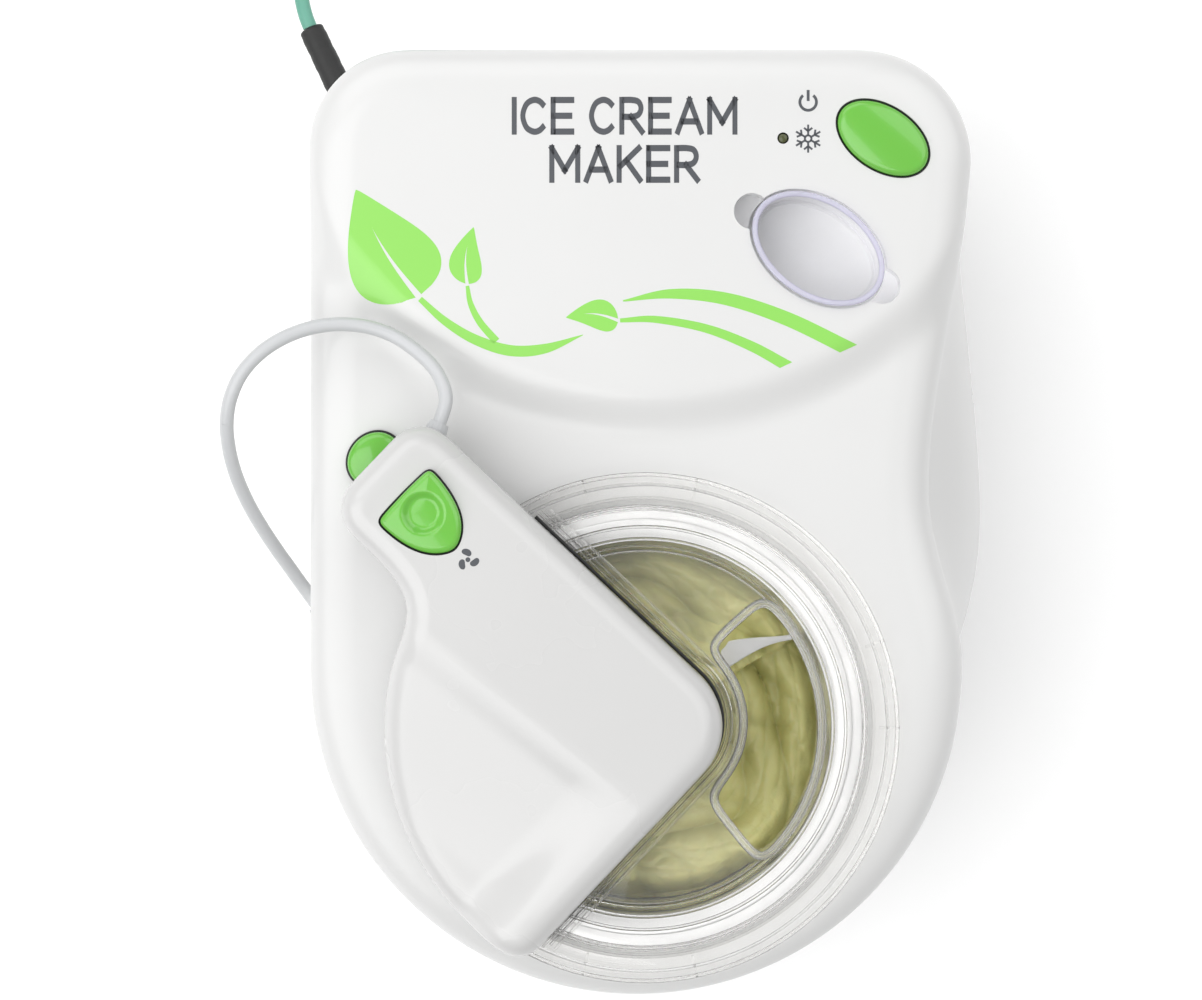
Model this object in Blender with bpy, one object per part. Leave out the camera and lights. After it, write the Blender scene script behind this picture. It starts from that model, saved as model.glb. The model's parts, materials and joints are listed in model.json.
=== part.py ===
"""Countertop ice cream maker with its own compressor, built as an assembly of separate pieces.

Frame: +Z up, origin on the surface it stands on, below the middle of the body. The bowl end faces -Y,
the mains lead leaves at the +Y end. Lengths below are in millimetres.
"""

import math

import bmesh
import bpy

MM = 0.001
GAP = 0.3

# Body
HALF_WIDTH = 139.0
HALF_DEPTH = 190.0
FOOT_Z = 8.0
SEAM_Z = 150.0
DECK_Z = 190.0
REAR_DECK_Z = 195.0
WALL = 2.5
FRONT_RADIUS = 131.5
FRONT_CENTRE = (FRONT_RADIUS - HALF_WIDTH, FRONT_RADIUS - HALF_DEPTH)
REAR_LEFT_RADIUS = 39.0
REAR_RIGHT_RADIUS = 45.0
REAR_RIGHT_X = 127.0

# Bowl, lid and drive axis
AXIS = (-4.6, -81.6)
WELL_RADIUS = 77.0
BOWL_RADIUS = 75.8
BOWL_WALL = 1.2
BOWL_FLOOR_Z = 89.0
BOWL_RIM_Z = 189.0
LID_RADIUS = 101.6
DECK_OPENING = 88.5

# Motor unit: a bar that points from the tail to the bowl's centre, and a round lobe over the lid
BAR_ANGLE = math.radians(43.3)
UNIT_Z = 199.0
SPLIT_Z = 203.0
UNIT_TOP_Z = 243.0
BAR_EDGE = -30.8
LOBE_EDGE = 27.4
LOBE_RADIUS = 102.3
LOBE_CORNER = 11.0
CORNER_RADIUS = 26.0
TAIL_U = -150.3
TAIL_RADIUS = 14.0
MIX_BUTTON = (-121.5, -3.3)
RELEASE_BUTTON = (-152.0, -4.0)

# Gear train
PINION_TEETH = 12
GEAR_TEETH = 44
MODULE = 1.0
GEAR_DISTANCE = MODULE * (PINION_TEETH + GEAR_TEETH) / 2

# Deck fittings
POWER_BUTTON = (90.7, 153.5)
POWER_TILT = math.radians(-33)
POWER_AXES = (20.0, 12.4)
LED = (50.8, 153.5)
CUP = (64.8, 109.4)
CUP_TILT = math.radians(-34)
CUP_AXES = (29.0, 19.6)
CUP_FLOOR_Z = 168.0
NOTCHES = ((38.4, 124.4), (90.4, 94.6))

# Cooling circuit
COMPRESSOR = (-66.0, 98.0)
FAN = (97.0, 72.0)  # Y and Z of the fan's axis, which runs along X

# Leads
MAINS_DIAMETER = 6.4
CABLE_DIAMETER = 5.6
MAINS_EXIT = (-149.6, 216.9, 30.0)
COIL_CENTRE = (-141.5, 306.5)
COIL_RADIUS = 38.0
MAINS_ROUTE = [
    (-149.8, 217.2, 30.0),
    (-151.8, 222.4, 30.0),
    (-153.2, 228.0, 29.3),
    (-154.3, 233.6, 27.1),
    (-155.6, 239.0, 22.8),
    (-157.0, 243.8, 16.8),
    (-158.9, 248.6, 10.5),
    (-162.0, 253.6, 6.2),
    (-166.4, 258.4, 4.0),
    (-171.2, 263.0, 3.4),
    (-175.4, 268.2, 3.4),
]
CABLE_ROUTE = [
    (-139.9, -33.8, 132.0),
    (-142.6, -30.2, 132.0),
    (-146.2, -25.0, 134.4),
    (-150.4, -18.4, 140.2),
    (-155.2, -10.6, 149.0),
    (-160.6, -1.0, 159.0),
    (-165.4, 9.2, 169.5),
    (-168.9, 19.6, 179.5),
    (-170.8, 30.0, 188.5),
    (-171.0, 40.4, 195.5),
    (-168.8, 50.6, 200.2),
    (-163.6, 60.6, 202.6),
    (-154.6, 69.4, 203.2),
    (-142.6, 75.8, 202.4),
    (-129.6, 78.8, 201.0),
    (-116.6, 78.4, 200.0),
    (-105.0, 74.8, 200.0),
    (-95.4, 68.6, 202.0),
    (-88.0, 61.4, 205.2),
    (-84.0, 54.0, 208.4),
    (-83.2, 47.6, 210.4),
    (-85.4, 40.1, 211.0),
]
CABLE_UNIT_ANGLE = math.radians(250)  # round the tail's corner
CABLE_UNIT_Z = 211.0

PLASTIC_WHITE = ("housing_white", (0.86, 0.87, 0.88, 1), 0.2, 0.0)
PLASTIC_GREY = ("base_grey", (0.32, 0.33, 0.34, 1), 0.5, 0.0)
PLASTIC_GREEN = ("button_green", (0.17, 0.56, 0.07, 1), 0.25, 0.0)
PLASTIC_CLEAR = ("clear_plastic", (0.85, 0.88, 0.9, 1), 0.05, 0.0)
PLASTIC_BLACK = ("black_plastic", (0.03, 0.03, 0.03, 1), 0.45, 0.0)
RUBBER = ("black_rubber", (0.02, 0.02, 0.02, 1), 0.8, 0.0)
ALUMINIUM = ("aluminium", (0.8, 0.8, 0.8, 1), 0.35, 1.0)
STEEL = ("steel", (0.6, 0.6, 0.6, 1), 0.3, 1.0)
COPPER = ("copper", (0.72, 0.35, 0.2, 1), 0.35, 1.0)
BLACK_STEEL = ("black_steel", (0.03, 0.03, 0.03, 1), 0.4, 0.0)
FOAM = ("foam", (0.75, 0.7, 0.5, 1), 0.9, 0.0)
GEAR_NYLON = ("gear_nylon", (0.85, 0.83, 0.76, 1), 0.45, 0.0)
BOARD_GREEN = ("circuit_board", (0.02, 0.2, 0.08, 1), 0.4, 0.0)
LEAD_TEAL = ("lead_teal", (0.15, 0.42, 0.31, 1), 0.45, 0.0)
LEAD_WHITE = ("lead_white", (0.75, 0.75, 0.76, 1), 0.4, 0.0)

bodies = {}


def clear_scene():
    for obj in list(bpy.data.objects):
        bpy.data.objects.remove(obj)


def make_material(finish):
    name, colour, roughness, metallic = finish
    found = bpy.data.materials.get(name)
    if found:
        return found
    mat = bpy.data.materials.new(name)
    mat.use_nodes = True
    shader = mat.node_tree.nodes["Principled BSDF"]
    shader.inputs["Base Color"].default_value = colour
    shader.inputs["Roughness"].default_value = roughness
    shader.inputs["Metallic"].default_value = metallic
    return mat


def make_body(name, x=0.0, y=0.0, z=0.0):
    """An empty on the body's joint axis, which the body's pieces are parented to."""
    empty = bpy.data.objects.new("body_" + name, None)
    empty.location = (x * MM, y * MM, z * MM)
    bpy.context.scene.collection.objects.link(empty)
    bodies[name] = (empty, (x, y, z))


# ---------------------------------------------------------------- outlines


def arc(cx, cy, radius, start, end, steps):
    """Points along an arc, angles in degrees, both ends included."""
    out = []
    for i in range(steps + 1):
        a = math.radians(start + (end - start) * i / steps)
        out.append((cx + radius * math.cos(a), cy + radius * math.sin(a)))
    return out


def ellipse(centre, axes, tilt=0.0, steps=28):
    out = []
    for i in range(steps):
        a = 2 * math.pi * i / steps
        x, y = axes[0] * math.cos(a), axes[1] * math.sin(a)
        out.append(
            (
                centre[0] + x * math.cos(tilt) - y * math.sin(tilt),
                centre[1] + x * math.sin(tilt) + y * math.cos(tilt),
            )
        )
    return out


def circle(centre, radius, steps=24):
    return ellipse(centre, (radius, radius), 0.0, steps)


def smooth_through(points, steps):
    """A Catmull-Rom curve through the points, with its first and last point left out."""
    out = []
    for i in range(len(points) - 1):
        before = points[max(i - 1, 0)]
        a, b = points[i], points[i + 1]
        after = points[min(i + 2, len(points) - 1)]
        for k in range(steps):
            t = k / steps
            out.append(
                tuple(
                    0.5
                    * (
                        2 * q
                        + (r - p) * t
                        + (2 * p - 5 * q + 4 * r - s) * t * t
                        + (3 * q - p - 3 * r + s) * t * t * t
                    )
                    for p, q, r, s in zip(before, a, b, after)
                )
            )
    return out[1:]


def inset(points, distance):
    """The closed outline moved inwards (anticlockwise outlines) by the distance."""
    out = []
    count = len(points)
    for i in range(count):
        ax, ay = points[i - 1]
        bx, by = points[(i + 1) % count]
        dx, dy = bx - ax, by - ay
        size = math.hypot(dx, dy)
        out.append((points[i][0] - dy / size * distance, points[i][1] + dx / size * distance))
    return out


def body_outline(distance=0.0, belly=0.0):
    """The body from above: round front, straight left side, and a right side that runs from a waist
    (belly 0) to a bulge (belly 1)."""
    waist = [(121.5, -38), (115.2, -16), (110.6, 8), (111.8, 38), (117.2, 74), (123.4, 112)]
    bulge = [(133.5, -38), (138.0, -16), (139.0, 8), (137.4, 38), (134.0, 74), (129.8, 112)]
    side = [(w[0] + (b[0] - w[0]) * belly, w[1]) for w, b in zip(waist, bulge)]
    fx, fy = FRONT_CENTRE
    start = (fx + FRONT_RADIUS, fy)
    corner = (REAR_RIGHT_X - REAR_RIGHT_RADIUS, HALF_DEPTH - REAR_RIGHT_RADIUS)
    end = (REAR_RIGHT_X, corner[1])
    left = (REAR_LEFT_RADIUS - HALF_WIDTH, HALF_DEPTH - REAR_LEFT_RADIUS)
    points = arc(fx, fy, FRONT_RADIUS, 180, 348, 17)
    points += smooth_through([points[-1], (start[0] + 3 * belly, start[1])] + side + [end], 1)
    points += arc(corner[0], corner[1], REAR_RIGHT_RADIUS, 0, 90, 5)
    points += [(-10.0, HALF_DEPTH)]
    points += arc(left[0], left[1], REAR_LEFT_RADIUS, 90, 180, 5)
    points += [(-HALF_WIDTH, 90.0), (-HALF_WIDTH, 20.0)]
    return inset(points, distance)


def rear_deck_outline(distance):
    """The raised rear part of the deck, whose front edge is a long curve around the lid."""
    edge = [(-124, 86), (-104, 70), (-78, 51), (-40, 38), (-2, 33), (36, 39), (70, 56), (98, 77), (111, 104)]
    points = [edge[0]] + smooth_through(edge, 1) + [edge[-1]]
    points += arc(82, 145, 31, 0, 90, 5)
    points += arc(-100, 151, 25, 90, 180, 5)
    return inset(points, distance)


def unit_point(u, v):
    """From the motor unit's own plane, u along the bar and v across it, to the frame."""
    c, s = math.cos(BAR_ANGLE), math.sin(BAR_ANGLE)
    return (AXIS[0] + u * c - v * s, AXIS[1] - u * s - v * c)


def unit_outline(distance=0.0):
    """The motor unit from above."""
    tail = TAIL_RADIUS
    side = 22.2
    points = arc(1.4, BAR_EDGE + CORNER_RADIUS, CORNER_RADIUS, -90, 0, 6)
    lobe_u = LOBE_EDGE - LOBE_CORNER
    lobe_v = math.sqrt((LOBE_RADIUS - LOBE_CORNER) ** 2 - lobe_u**2)
    meet = math.degrees(math.atan2(lobe_v, lobe_u))
    points += arc(lobe_u, lobe_v, LOBE_CORNER, 0, meet, 4)
    points += arc(0, 0, LOBE_RADIUS, meet + 7, 160, 10)
    points += [(-101.5, 28.0), (-107.0, 24.4), (-114.0, side + 0.6)]
    points += arc(TAIL_U + tail, side - tail, tail, 90, 180, 4)
    points += arc(TAIL_U + tail, BAR_EDGE + tail, tail, 180, 270, 4)
    points = inset(points, distance)
    return [unit_point(u, v) for u, v in points]


def cable_point(reach):
    """A point on the line along which the cable leaves the tail's corner, that far from its centre."""
    u = TAIL_U + TAIL_RADIUS + reach * math.cos(CABLE_UNIT_ANGLE)
    v = BAR_EDGE + TAIL_RADIUS + reach * math.sin(CABLE_UNIT_ANGLE)
    return (*unit_point(u, v), CABLE_UNIT_Z)


def port_outline(distance):
    """The filling port: an arched slot beside the motor unit's round corner."""
    reach = CORNER_RADIUS + 8.5
    points = arc(0, 0, 72.0, -92, 7, 9)
    points += [(LOBE_EDGE + 8.5, 3.8)]
    points += arc(1.4, BAR_EDGE + CORNER_RADIUS, reach, -6, -84, 5)
    points += [(-5.0, BAR_EDGE - 8.5)]
    points = inset(points, distance)
    return [unit_point(u, v) for u, v in points]


def gear_outline(teeth, centre, phase):
    """Straight-sided teeth with plenty of backlash, four points to a tooth."""
    pitch = MODULE * teeth / 2
    root, tip = pitch - 1.0 * MODULE, pitch + 0.65 * MODULE
    step = 2 * math.pi / teeth
    out = []
    for i in range(teeth):
        a = phase + i * step
        for r, part in ((root, -0.27), (tip, -0.11), (tip, 0.11), (root, 0.27)):
            out.append(
                (centre[0] + r * math.cos(a + part * step), centre[1] + r * math.sin(a + part * step))
            )
    return out


def pick_outline(centre, grow=0.0):
    """A rounded triangle whose point faces along the bar."""
    out = []
    for i in range(30):
        a = 2 * math.pi * i / 30
        r = 13.6 * (1 + 0.2 * math.cos(3 * a)) + grow
        out.append(unit_point(centre[0] + r * math.cos(a), centre[1] + r * math.sin(a)))
    return out


# ---------------------------------------------------------------- solids


def add_solid(name, points, faces, finish, body="housing", smooth_angle=35):
    """One object from points in millimetres, parented to its body's empty."""
    empty, place = bodies[body]
    mesh = bpy.data.meshes.new(name)
    mesh.from_pydata([tuple((p[k] - place[k]) * MM for k in range(3)) for p in points], [], faces)
    work = bmesh.new()
    work.from_mesh(mesh)
    bmesh.ops.recalc_face_normals(work, faces=work.faces)
    bmesh.ops.triangulate(work, faces=[f for f in work.faces if len(f.verts) == 4])
    work.to_mesh(mesh)
    work.free()
    mesh.shade_smooth()
    mesh.set_sharp_from_angle(angle=math.radians(smooth_angle))
    obj = bpy.data.objects.new(name, mesh)
    obj.parent = empty
    bpy.context.scene.collection.objects.link(obj)
    mesh.materials.append(make_material(finish))
    return obj


def loft(name, rings, finish, body="housing", ring_shaped=False):
    """A skin over rings of equal length; ring_shaped joins last to first, else the ends are capped."""
    count = len(rings[0])
    points = [p for ring in rings for p in ring]
    faces = []
    spans = len(rings) if ring_shaped else len(rings) - 1
    for i in range(spans):
        a, b = i * count, (i + 1) % len(rings) * count
        for k in range(count):
            n = (k + 1) % count
            faces.append((a + k, a + n, b + n, b + k))
    if not ring_shaped:
        faces.append(tuple(reversed(range(count))))
        faces.append(tuple(range((len(rings) - 1) * count, len(rings) * count)))
    return add_solid(name, points, faces, finish, body)


def at_height(outline, z):
    return [(x, y, z) for x, y in outline]


def prism(name, outline, low, high, finish, body="housing"):
    return loft(name, [at_height(outline, low), at_height(outline, high)], finish, body)


def block(name, low, high, finish, body="housing"):
    outline = [(low[0], low[1]), (high[0], low[1]), (high[0], high[1]), (low[0], high[1])]
    return prism(name, outline, low[2], high[2], finish, body)


def turned(name, profile, centre, finish, body="housing", steps=36):
    """A closed profile of (radius, height) turned about a vertical axis; it stays off the axis."""
    rings = [at_height(circle(centre, r, steps), z) for r, z in profile]
    return loft(name, rings, finish, body, ring_shaped=True)


def turned_solid(name, profile, centre, finish, body="housing", steps=24):
    """The same, but capped at both ends, for a piece with no hole through it."""
    rings = [at_height(circle(centre, r, steps), z) for r, z in profile]
    return loft(name, rings, finish, body)


def rod(name, start, end, profile, finish, body="housing", steps=16):
    """A turned piece along any line: the profile is (part of the length, radius)."""
    axis = [e - s for s, e in zip(start, end)]
    size = math.sqrt(sum(a * a for a in axis))
    axis = [a / size for a in axis]
    helper = (0, 0, 1) if abs(axis[2]) < 0.9 else (1, 0, 0)
    side = cross(axis, helper)
    side_size = math.sqrt(sum(a * a for a in side))
    side = [a / side_size for a in side]
    up = cross(axis, side)
    rings = []
    for part, r in profile:
        ring = []
        for i in range(steps):
            a = 2 * math.pi * i / steps
            ring.append(
                tuple(
                    start[k] + axis[k] * size * part + r * (math.cos(a) * side[k] + math.sin(a) * up[k])
                    for k in range(3)
                )
            )
        rings.append(ring)
    return loft(name, rings, finish, body)


def cross(a, b):
    return [a[1] * b[2] - a[2] * b[1], a[2] * b[0] - a[0] * b[2], a[0] * b[1] - a[1] * b[0]]


def tube(name, points, diameter, finish, body="housing", resolution=2):
    """A round tube along the points, as a bevelled curve with closed ends."""
    empty, place = bodies[body]
    curve = bpy.data.curves.new(name, "CURVE")
    curve.dimensions = "3D"
    curve.bevel_depth = diameter / 2 * MM
    curve.bevel_resolution = resolution
    curve.use_fill_caps = True
    spline = curve.splines.new("POLY")
    spline.points.add(len(points) - 1)
    for p, point in zip(points, spline.points):
        point.co = [(p[k] - place[k]) * MM for k in range(3)] + [1]
    obj = bpy.data.objects.new(name, curve)
    obj.parent = empty
    bpy.context.scene.collection.objects.link(obj)
    curve.materials.append(make_material(finish))
    return obj


def helix(centre, radius, low, high, turns, per_turn):
    count = int(turns * per_turn)
    out = []
    for i in range(count + 1):
        a = 2 * math.pi * i / per_turn
        z = low + (high - low) * i / count
        out.append((centre[0] + radius * math.cos(a), centre[1] + radius * math.sin(a), z))
    return out


def shape_with(target, other, operation):
    """Cut the other shape out of the target, or join it on."""
    other.hide_render = True
    other.display_type = "WIRE"
    step = target.modifiers.new(other.name, "BOOLEAN")
    step.object = other
    step.operation = operation
    step.solver = "EXACT"


def cut(target, other):
    shape_with(target, other, "DIFFERENCE")


def join(target, other):
    shape_with(target, other, "UNION")


# ---------------------------------------------------------------- housing


def make_base():
    tray = [(13.0, FOOT_Z), (9.4, FOOT_Z + 2), (9.4, 16.0), (12.4, 16.0), (12.4, FOOT_Z + 3.5)]
    rings = [at_height(body_outline(d, 0.75), z) for d, z in tray]
    base = loft("base_tray", rings, PLASTIC_GREY)
    places = {
        "front_left": (-82, -128),
        "front_right": (68, -128),
        "rear_left": (-104, 146),
        "rear_right": (92, 146),
    }
    for name, (x, y) in places.items():
        profile = [(9.0, 0), (10.0, 1.2), (9.4, FOOT_Z - GAP)]
        turned_solid("foot_" + name, profile, (x, y), RUBBER, steps=14)
    screws = {
        "front_left": (-58, -136),
        "front_right": (46, -136),
        "rear_left": (-76, 158),
        "rear_right": (66, 158),
    }
    for name, (x, y) in screws.items():
        cut(base, turned_solid("cut_screw_" + name, [(4.6, 5), (4.6, 14)], (x, y), STEEL, steps=10))
        profile = [(3.6, FOOT_Z + 0.6), (3.6, FOOT_Z + 3), (2.0, FOOT_Z + 3.2), (2.0, 34)]
        turned_solid("base_screw_" + name, profile, (x, y), STEEL, steps=8)


def make_lower_housing():
    walls = [  # inset, height, belly
        (9.0, 16.3, 0.75),
        (3.2, 30, 0.9),
        (0.6, 58, 1.0),
        (0.0, 92, 1.0),
        (0.4, 116, 0.74),
        (0.9, 136, 0.3),
        (1.0, SEAM_Z, 0.0),
    ]
    rings = [at_height(body_outline(d, b), z) for d, z, b in walls]
    rings += [at_height(body_outline(d + WALL, b), z) for d, z, b in reversed(walls)]
    shell = loft("lower_housing", rings, PLASTIC_WHITE, ring_shaped=True)
    for i in range(7):
        y = 52.0 + 13.5 * i
        cut(shell, block(f"cut_vent_left_{i}", (-150, y, 38), (-125, y + 4, 98), PLASTIC_WHITE))
        cut(shell, block(f"cut_vent_right_{i}", (112, y, 38), (150, y + 4, 98), PLASTIC_WHITE))
    for i in range(6):
        x = -60.0 + 20.0 * i
        cut(shell, block(f"cut_vent_rear_{i}", (x, 180, 44), (x + 5, 200, 104), PLASTIC_WHITE))
    cut(shell, rod("cut_mains_inlet", (-118, 151.2, 30), (-138, 192.8, 30), [(0, 8.2), (1, 8.2)], RUBBER))
    cut(shell, rod("cut_cable_inlet", (-126, -52, 132), (-146, -25.5, 132), [(0, 5.4), (1, 5.4)], RUBBER))


def make_top_cover():
    outside = [(1.0, SEAM_Z + GAP), (0.0, 154), (0.0, 178), (1.2, 183), (4.2, 187.4), (10, DECK_Z)]
    inside = [(11.5, DECK_Z - WALL), (6.4, 184.8), (3.7, 181), (2.5, 176), (3.5, SEAM_Z + GAP)]
    rings = [at_height(body_outline(d), z) for d, z in inside]
    rings += [at_height(body_outline(d), z) for d, z in outside]
    cover = loft("top_cover", rings, PLASTIC_WHITE)
    pad = [(2.0, DECK_Z - 1.5), (0.0, DECK_Z), (1.6, REAR_DECK_Z - 1), (5.0, REAR_DECK_Z)]
    join(cover, loft("add_rear_deck", [at_height(rear_deck_outline(d), z) for d, z in pad], PLASTIC_WHITE))
    a, b = CUP_AXES
    pocket_wall = ellipse(CUP, (a + 3, b + 3), CUP_TILT)
    join(cover, prism("add_pocket", pocket_wall, CUP_FLOOR_Z - 3, DECK_Z + 1, PLASTIC_WHITE))
    for i, notch in enumerate(NOTCHES):
        join(cover, prism(f"add_notch_{i}", circle(notch, 9.4, 20), 178, DECK_Z + 1, PLASTIC_WHITE))
    pocket = ellipse(CUP, (a + 1, b + 1), CUP_TILT)
    cut(cover, prism("cut_pocket", pocket, CUP_FLOOR_Z - 1, 200, PLASTIC_WHITE))
    for i, notch in enumerate(NOTCHES):
        cut(cover, prism(f"cut_notch_{i}", circle(notch, 7.2, 20), 181, 200, PLASTIC_WHITE))
    cut(cover, prism("cut_bowl_opening", circle(AXIS, DECK_OPENING, 36), 170, 200, PLASTIC_WHITE))
    hole = ellipse(POWER_BUTTON, (POWER_AXES[0] + 0.9, POWER_AXES[1] + 0.9), POWER_TILT)
    cut(cover, prism("cut_power_button", hole, 170, 200, PLASTIC_WHITE))
    cut(cover, prism("cut_led", circle(LED, 2.4, 12), 170, 200, PLASTIC_WHITE))
    hole = ellipse(unit_point(*RELEASE_BUTTON), (12.4, 10.9), -BAR_ANGLE - math.pi / 2)
    cut(cover, prism("cut_release_button", hole, 170, 200, PLASTIC_WHITE))
    slot = [unit_point(u, v) for u, v in ((-138.6, -11), (-129.4, -11), (-129.4, 3), (-138.6, 3))]
    cut(cover, prism("cut_latch_slot", slot, 170, 200, PLASTIC_WHITE))


def make_deck_controls():
    button = [(6.0, 184), (0.0, 185.5), (0.0, 195), (1.2, 197), (4.2, 198.2)]
    rings = []
    for d, z in button:
        rings.append(at_height(ellipse(POWER_BUTTON, (POWER_AXES[0] - d, POWER_AXES[1] - d), POWER_TILT), z))
    power = loft("power_button", rings, PLASTIC_GREEN, "power_button")
    stem = circle(POWER_BUTTON, 3, 12)
    join(power, prism("add_power_stem", stem, 177.6, 185, PLASTIC_GREEN, "power_button"))
    x, y = POWER_BUTTON
    block("power_switch", (x - 7, y - 5, 166.9), (x + 7, y + 5, 174.5), PLASTIC_BLACK)
    block("control_board", (44, 140, 165), (104, 178, 166.6), BOARD_GREEN)
    turned_solid("cooling_led", [(2.0, 172), (2.0, 194.6), (1.2, 195.4)], LED, BOARD_GREEN, steps=12)
    spring = helix(POWER_BUTTON, 4.6, 175.6, 180.4, 3, 8)
    tube("power_button_spring", spring, 0.8, STEEL, resolution=0)

    release = unit_point(*RELEASE_BUTTON)
    tilt = -BAR_ANGLE - math.pi / 2
    cap = [(3.0, 182), (0.0, 183.2), (0.0, 191.5), (1.0, 193.2), (4.0, 194.4)]
    rings = [at_height(ellipse(release, (11.5 - d, 10.0 - d), tilt, 24), z) for d, z in cap]
    obj = loft("release_button", rings, PLASTIC_GREEN, "release_button")
    join(obj, prism("add_release_stem", circle(release, 3, 12), 174, 183, PLASTIC_GREEN, "release_button"))
    spring = helix(release, 4.6, 168.4, 176.6, 4, 8)
    tube("release_button_spring", spring, 0.8, STEEL, resolution=0)
    bar = [unit_point(u, v) for u, v in ((-156, -10), (-139.4, -10), (-139.4, 2), (-156, 2))]
    prism("release_latch", bar, 160, 167.6, PLASTIC_BLACK)

    a, b = CUP_AXES
    cup = [(3.6, CUP_FLOOR_Z + 2), (1.4, DECK_Z), (1.4, 196.8)]  # inset and height, inside then outside
    cup += [(0.0, 197.4), (0.0, 195.6), (0.3, 191), (2.2, CUP_FLOOR_Z)]
    rings = [at_height(ellipse(CUP, (a - d, b - d), CUP_TILT), z) for d, z in cup]
    loft("measuring_cup", rings, PLASTIC_CLEAR, "measuring_cup")


# ---------------------------------------------------------------- cooling circuit


def make_well():
    r = WELL_RADIUS
    profile = [(4, 84), (r - 6, 84), (r + 1.5, 90), (r + 1.5, 185.4), (94, 185.4)]  # outside, then inside
    profile += [(94, 187), (r, 187), (r, 91), (r - 7, 85.5), (4, 85.5)]
    turned("evaporator_well", profile, AXIS, ALUMINIUM, steps=28)
    tube("evaporator_coil", helix(AXIS, r + 6.6, 98, 158, 3, 20), 6.4, COPPER, resolution=1)
    profile = [(r + 10.6, 86), (r + 21, 86), (r + 21, 182), (r + 10.6, 182)]
    turned("insulation_jacket", profile, AXIS, FOAM, steps=28)
    profile = [(10, 60), (r + 21, 60), (r + 21, 83), (10, 83)]
    turned("insulation_base", profile, AXIS, FOAM, steps=28)


def make_cooling():
    x, y = COMPRESSOR
    profile = [(20, 24), (44, 27), (48, 34), (48, 108), (42, 120), (24, 127)]
    turned_solid("compressor", profile, COMPRESSOR, BLACK_STEEL, steps=28)
    for i in range(3):
        a = math.radians(90 + 120 * i)
        spot = (x + 34 * math.cos(a), y + 34 * math.sin(a))
        turned_solid(f"compressor_mount_{i + 1}", [(8, 11.9), (6, 17), (8, 24.6)], spot, RUBBER, steps=14)
    block("start_relay", (-14.5, 82, 60), (4, 114, 96), PLASTIC_BLACK)
    fan_y, fan_z = FAN
    core = block("condenser", (86, 44, 20), (108, 150, 128), ALUMINIUM)
    for i in range(11):
        z = 24.5 + 9.4 * i
        cut(core, block(f"cut_fin_{i}", (80, 47, z), (115, 147, z + 6.4), ALUMINIUM))
    shroud = block("fan_shroud", (78, fan_y - 52, 14), (81, fan_y + 52, fan_z + 54), PLASTIC_BLACK)
    tunnel = [(70, fan_y, fan_z), (90, fan_y, fan_z)]
    cut(shroud, rod("cut_shroud", *tunnel, [(0, 45), (1, 45)], STEEL, steps=32))
    shell = [(38, fan_y, fan_z), (60, fan_y, fan_z)]
    motor = rod("fan_motor", *shell, [(0, 17), (1, 17)], BLACK_STEEL, steps=20)
    join(motor, block("add_fan_bracket", (44, fan_y - 6, 11.9), (50, fan_y + 6, fan_z), BLACK_STEEL))
    hub = [(61, fan_y, fan_z), (80, fan_y, fan_z)]
    rotor = rod("fan_rotor", *hub, [(0, 12), (0.9, 12), (1, 9)], PLASTIC_BLACK, "fan_rotor", 18)
    for i in range(5):
        a = 2 * math.pi * i / 5
        radial, across = (math.cos(a), math.sin(a)), (-math.sin(a), math.cos(a))
        corners = []
        for r, half in ((9, 6), (41, 15)):
            for side in (-1, 1):
                for face in (-0.9, 0.9):
                    corners.append(
                        (
                            70 + side * 6 + face,
                            fan_y + r * radial[0] + side * half * across[0],
                            fan_z + r * radial[1] + side * half * across[1],
                        )
                    )
        faces = [(0, 1, 3, 2), (4, 6, 7, 5), (0, 4, 5, 1), (2, 3, 7, 6), (0, 2, 6, 4), (1, 5, 7, 3)]
        join(rotor, add_solid(f"add_blade_{i}", corners, faces, PLASTIC_BLACK, "fan_rotor"))
    turned_solid("filter_drier", [(3, 34), (9, 44), (9, 100), (3, 110)], (16, 156), COPPER, steps=16)
    route = [(-42, 98, 128), (-42, 98, 136), (-30, 110, 142), (10, 140, 142)]
    route += [(60, 157, 138), (96, 158, 132), (97, 154.4, 125)]
    line = [route[0]] + smooth_through(route, 4) + [route[-1]]
    tube("discharge_line", line, 5.0, COPPER, resolution=1)
    route = [(-84, 80, 128), (-86, 74, 140), (-80, 56, 150), (-64, 38, 148), (-52, 24, 142)]
    line = [route[0]] + smooth_through(route, 4) + [route[-1]]
    tube("suction_line", line, 6.0, COPPER, resolution=1)
    route = [(16, 156, 33), (18, 148, 22), (30, 120, 20), (28, 70, 22), (20, 40, 40), (14, 26, 60)]
    line = [route[0]] + smooth_through(route, 4) + [route[-1]]
    tube("capillary_line", line, 3.0, COPPER, resolution=1)


# ---------------------------------------------------------------- bowl, paddle and lid


def make_bowl():
    r, t = BOWL_RADIUS, BOWL_WALL
    z = BOWL_FLOOR_Z
    rim, flange = BOWL_RIM_Z, 83.5
    profile = [(3.6, 99), (3.6, z + t), (r - 6, z + t), (r - t, z + 8), (r - t, rim)]  # inside
    profile += [(flange, rim), (flange, rim - 1.4), (r, rim - 1.4), (r, z + 7.5), (r - 6.5, z)]
    turned_solid("bowl", profile, AXIS, ALUMINIUM, "bowl", steps=32)


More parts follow.
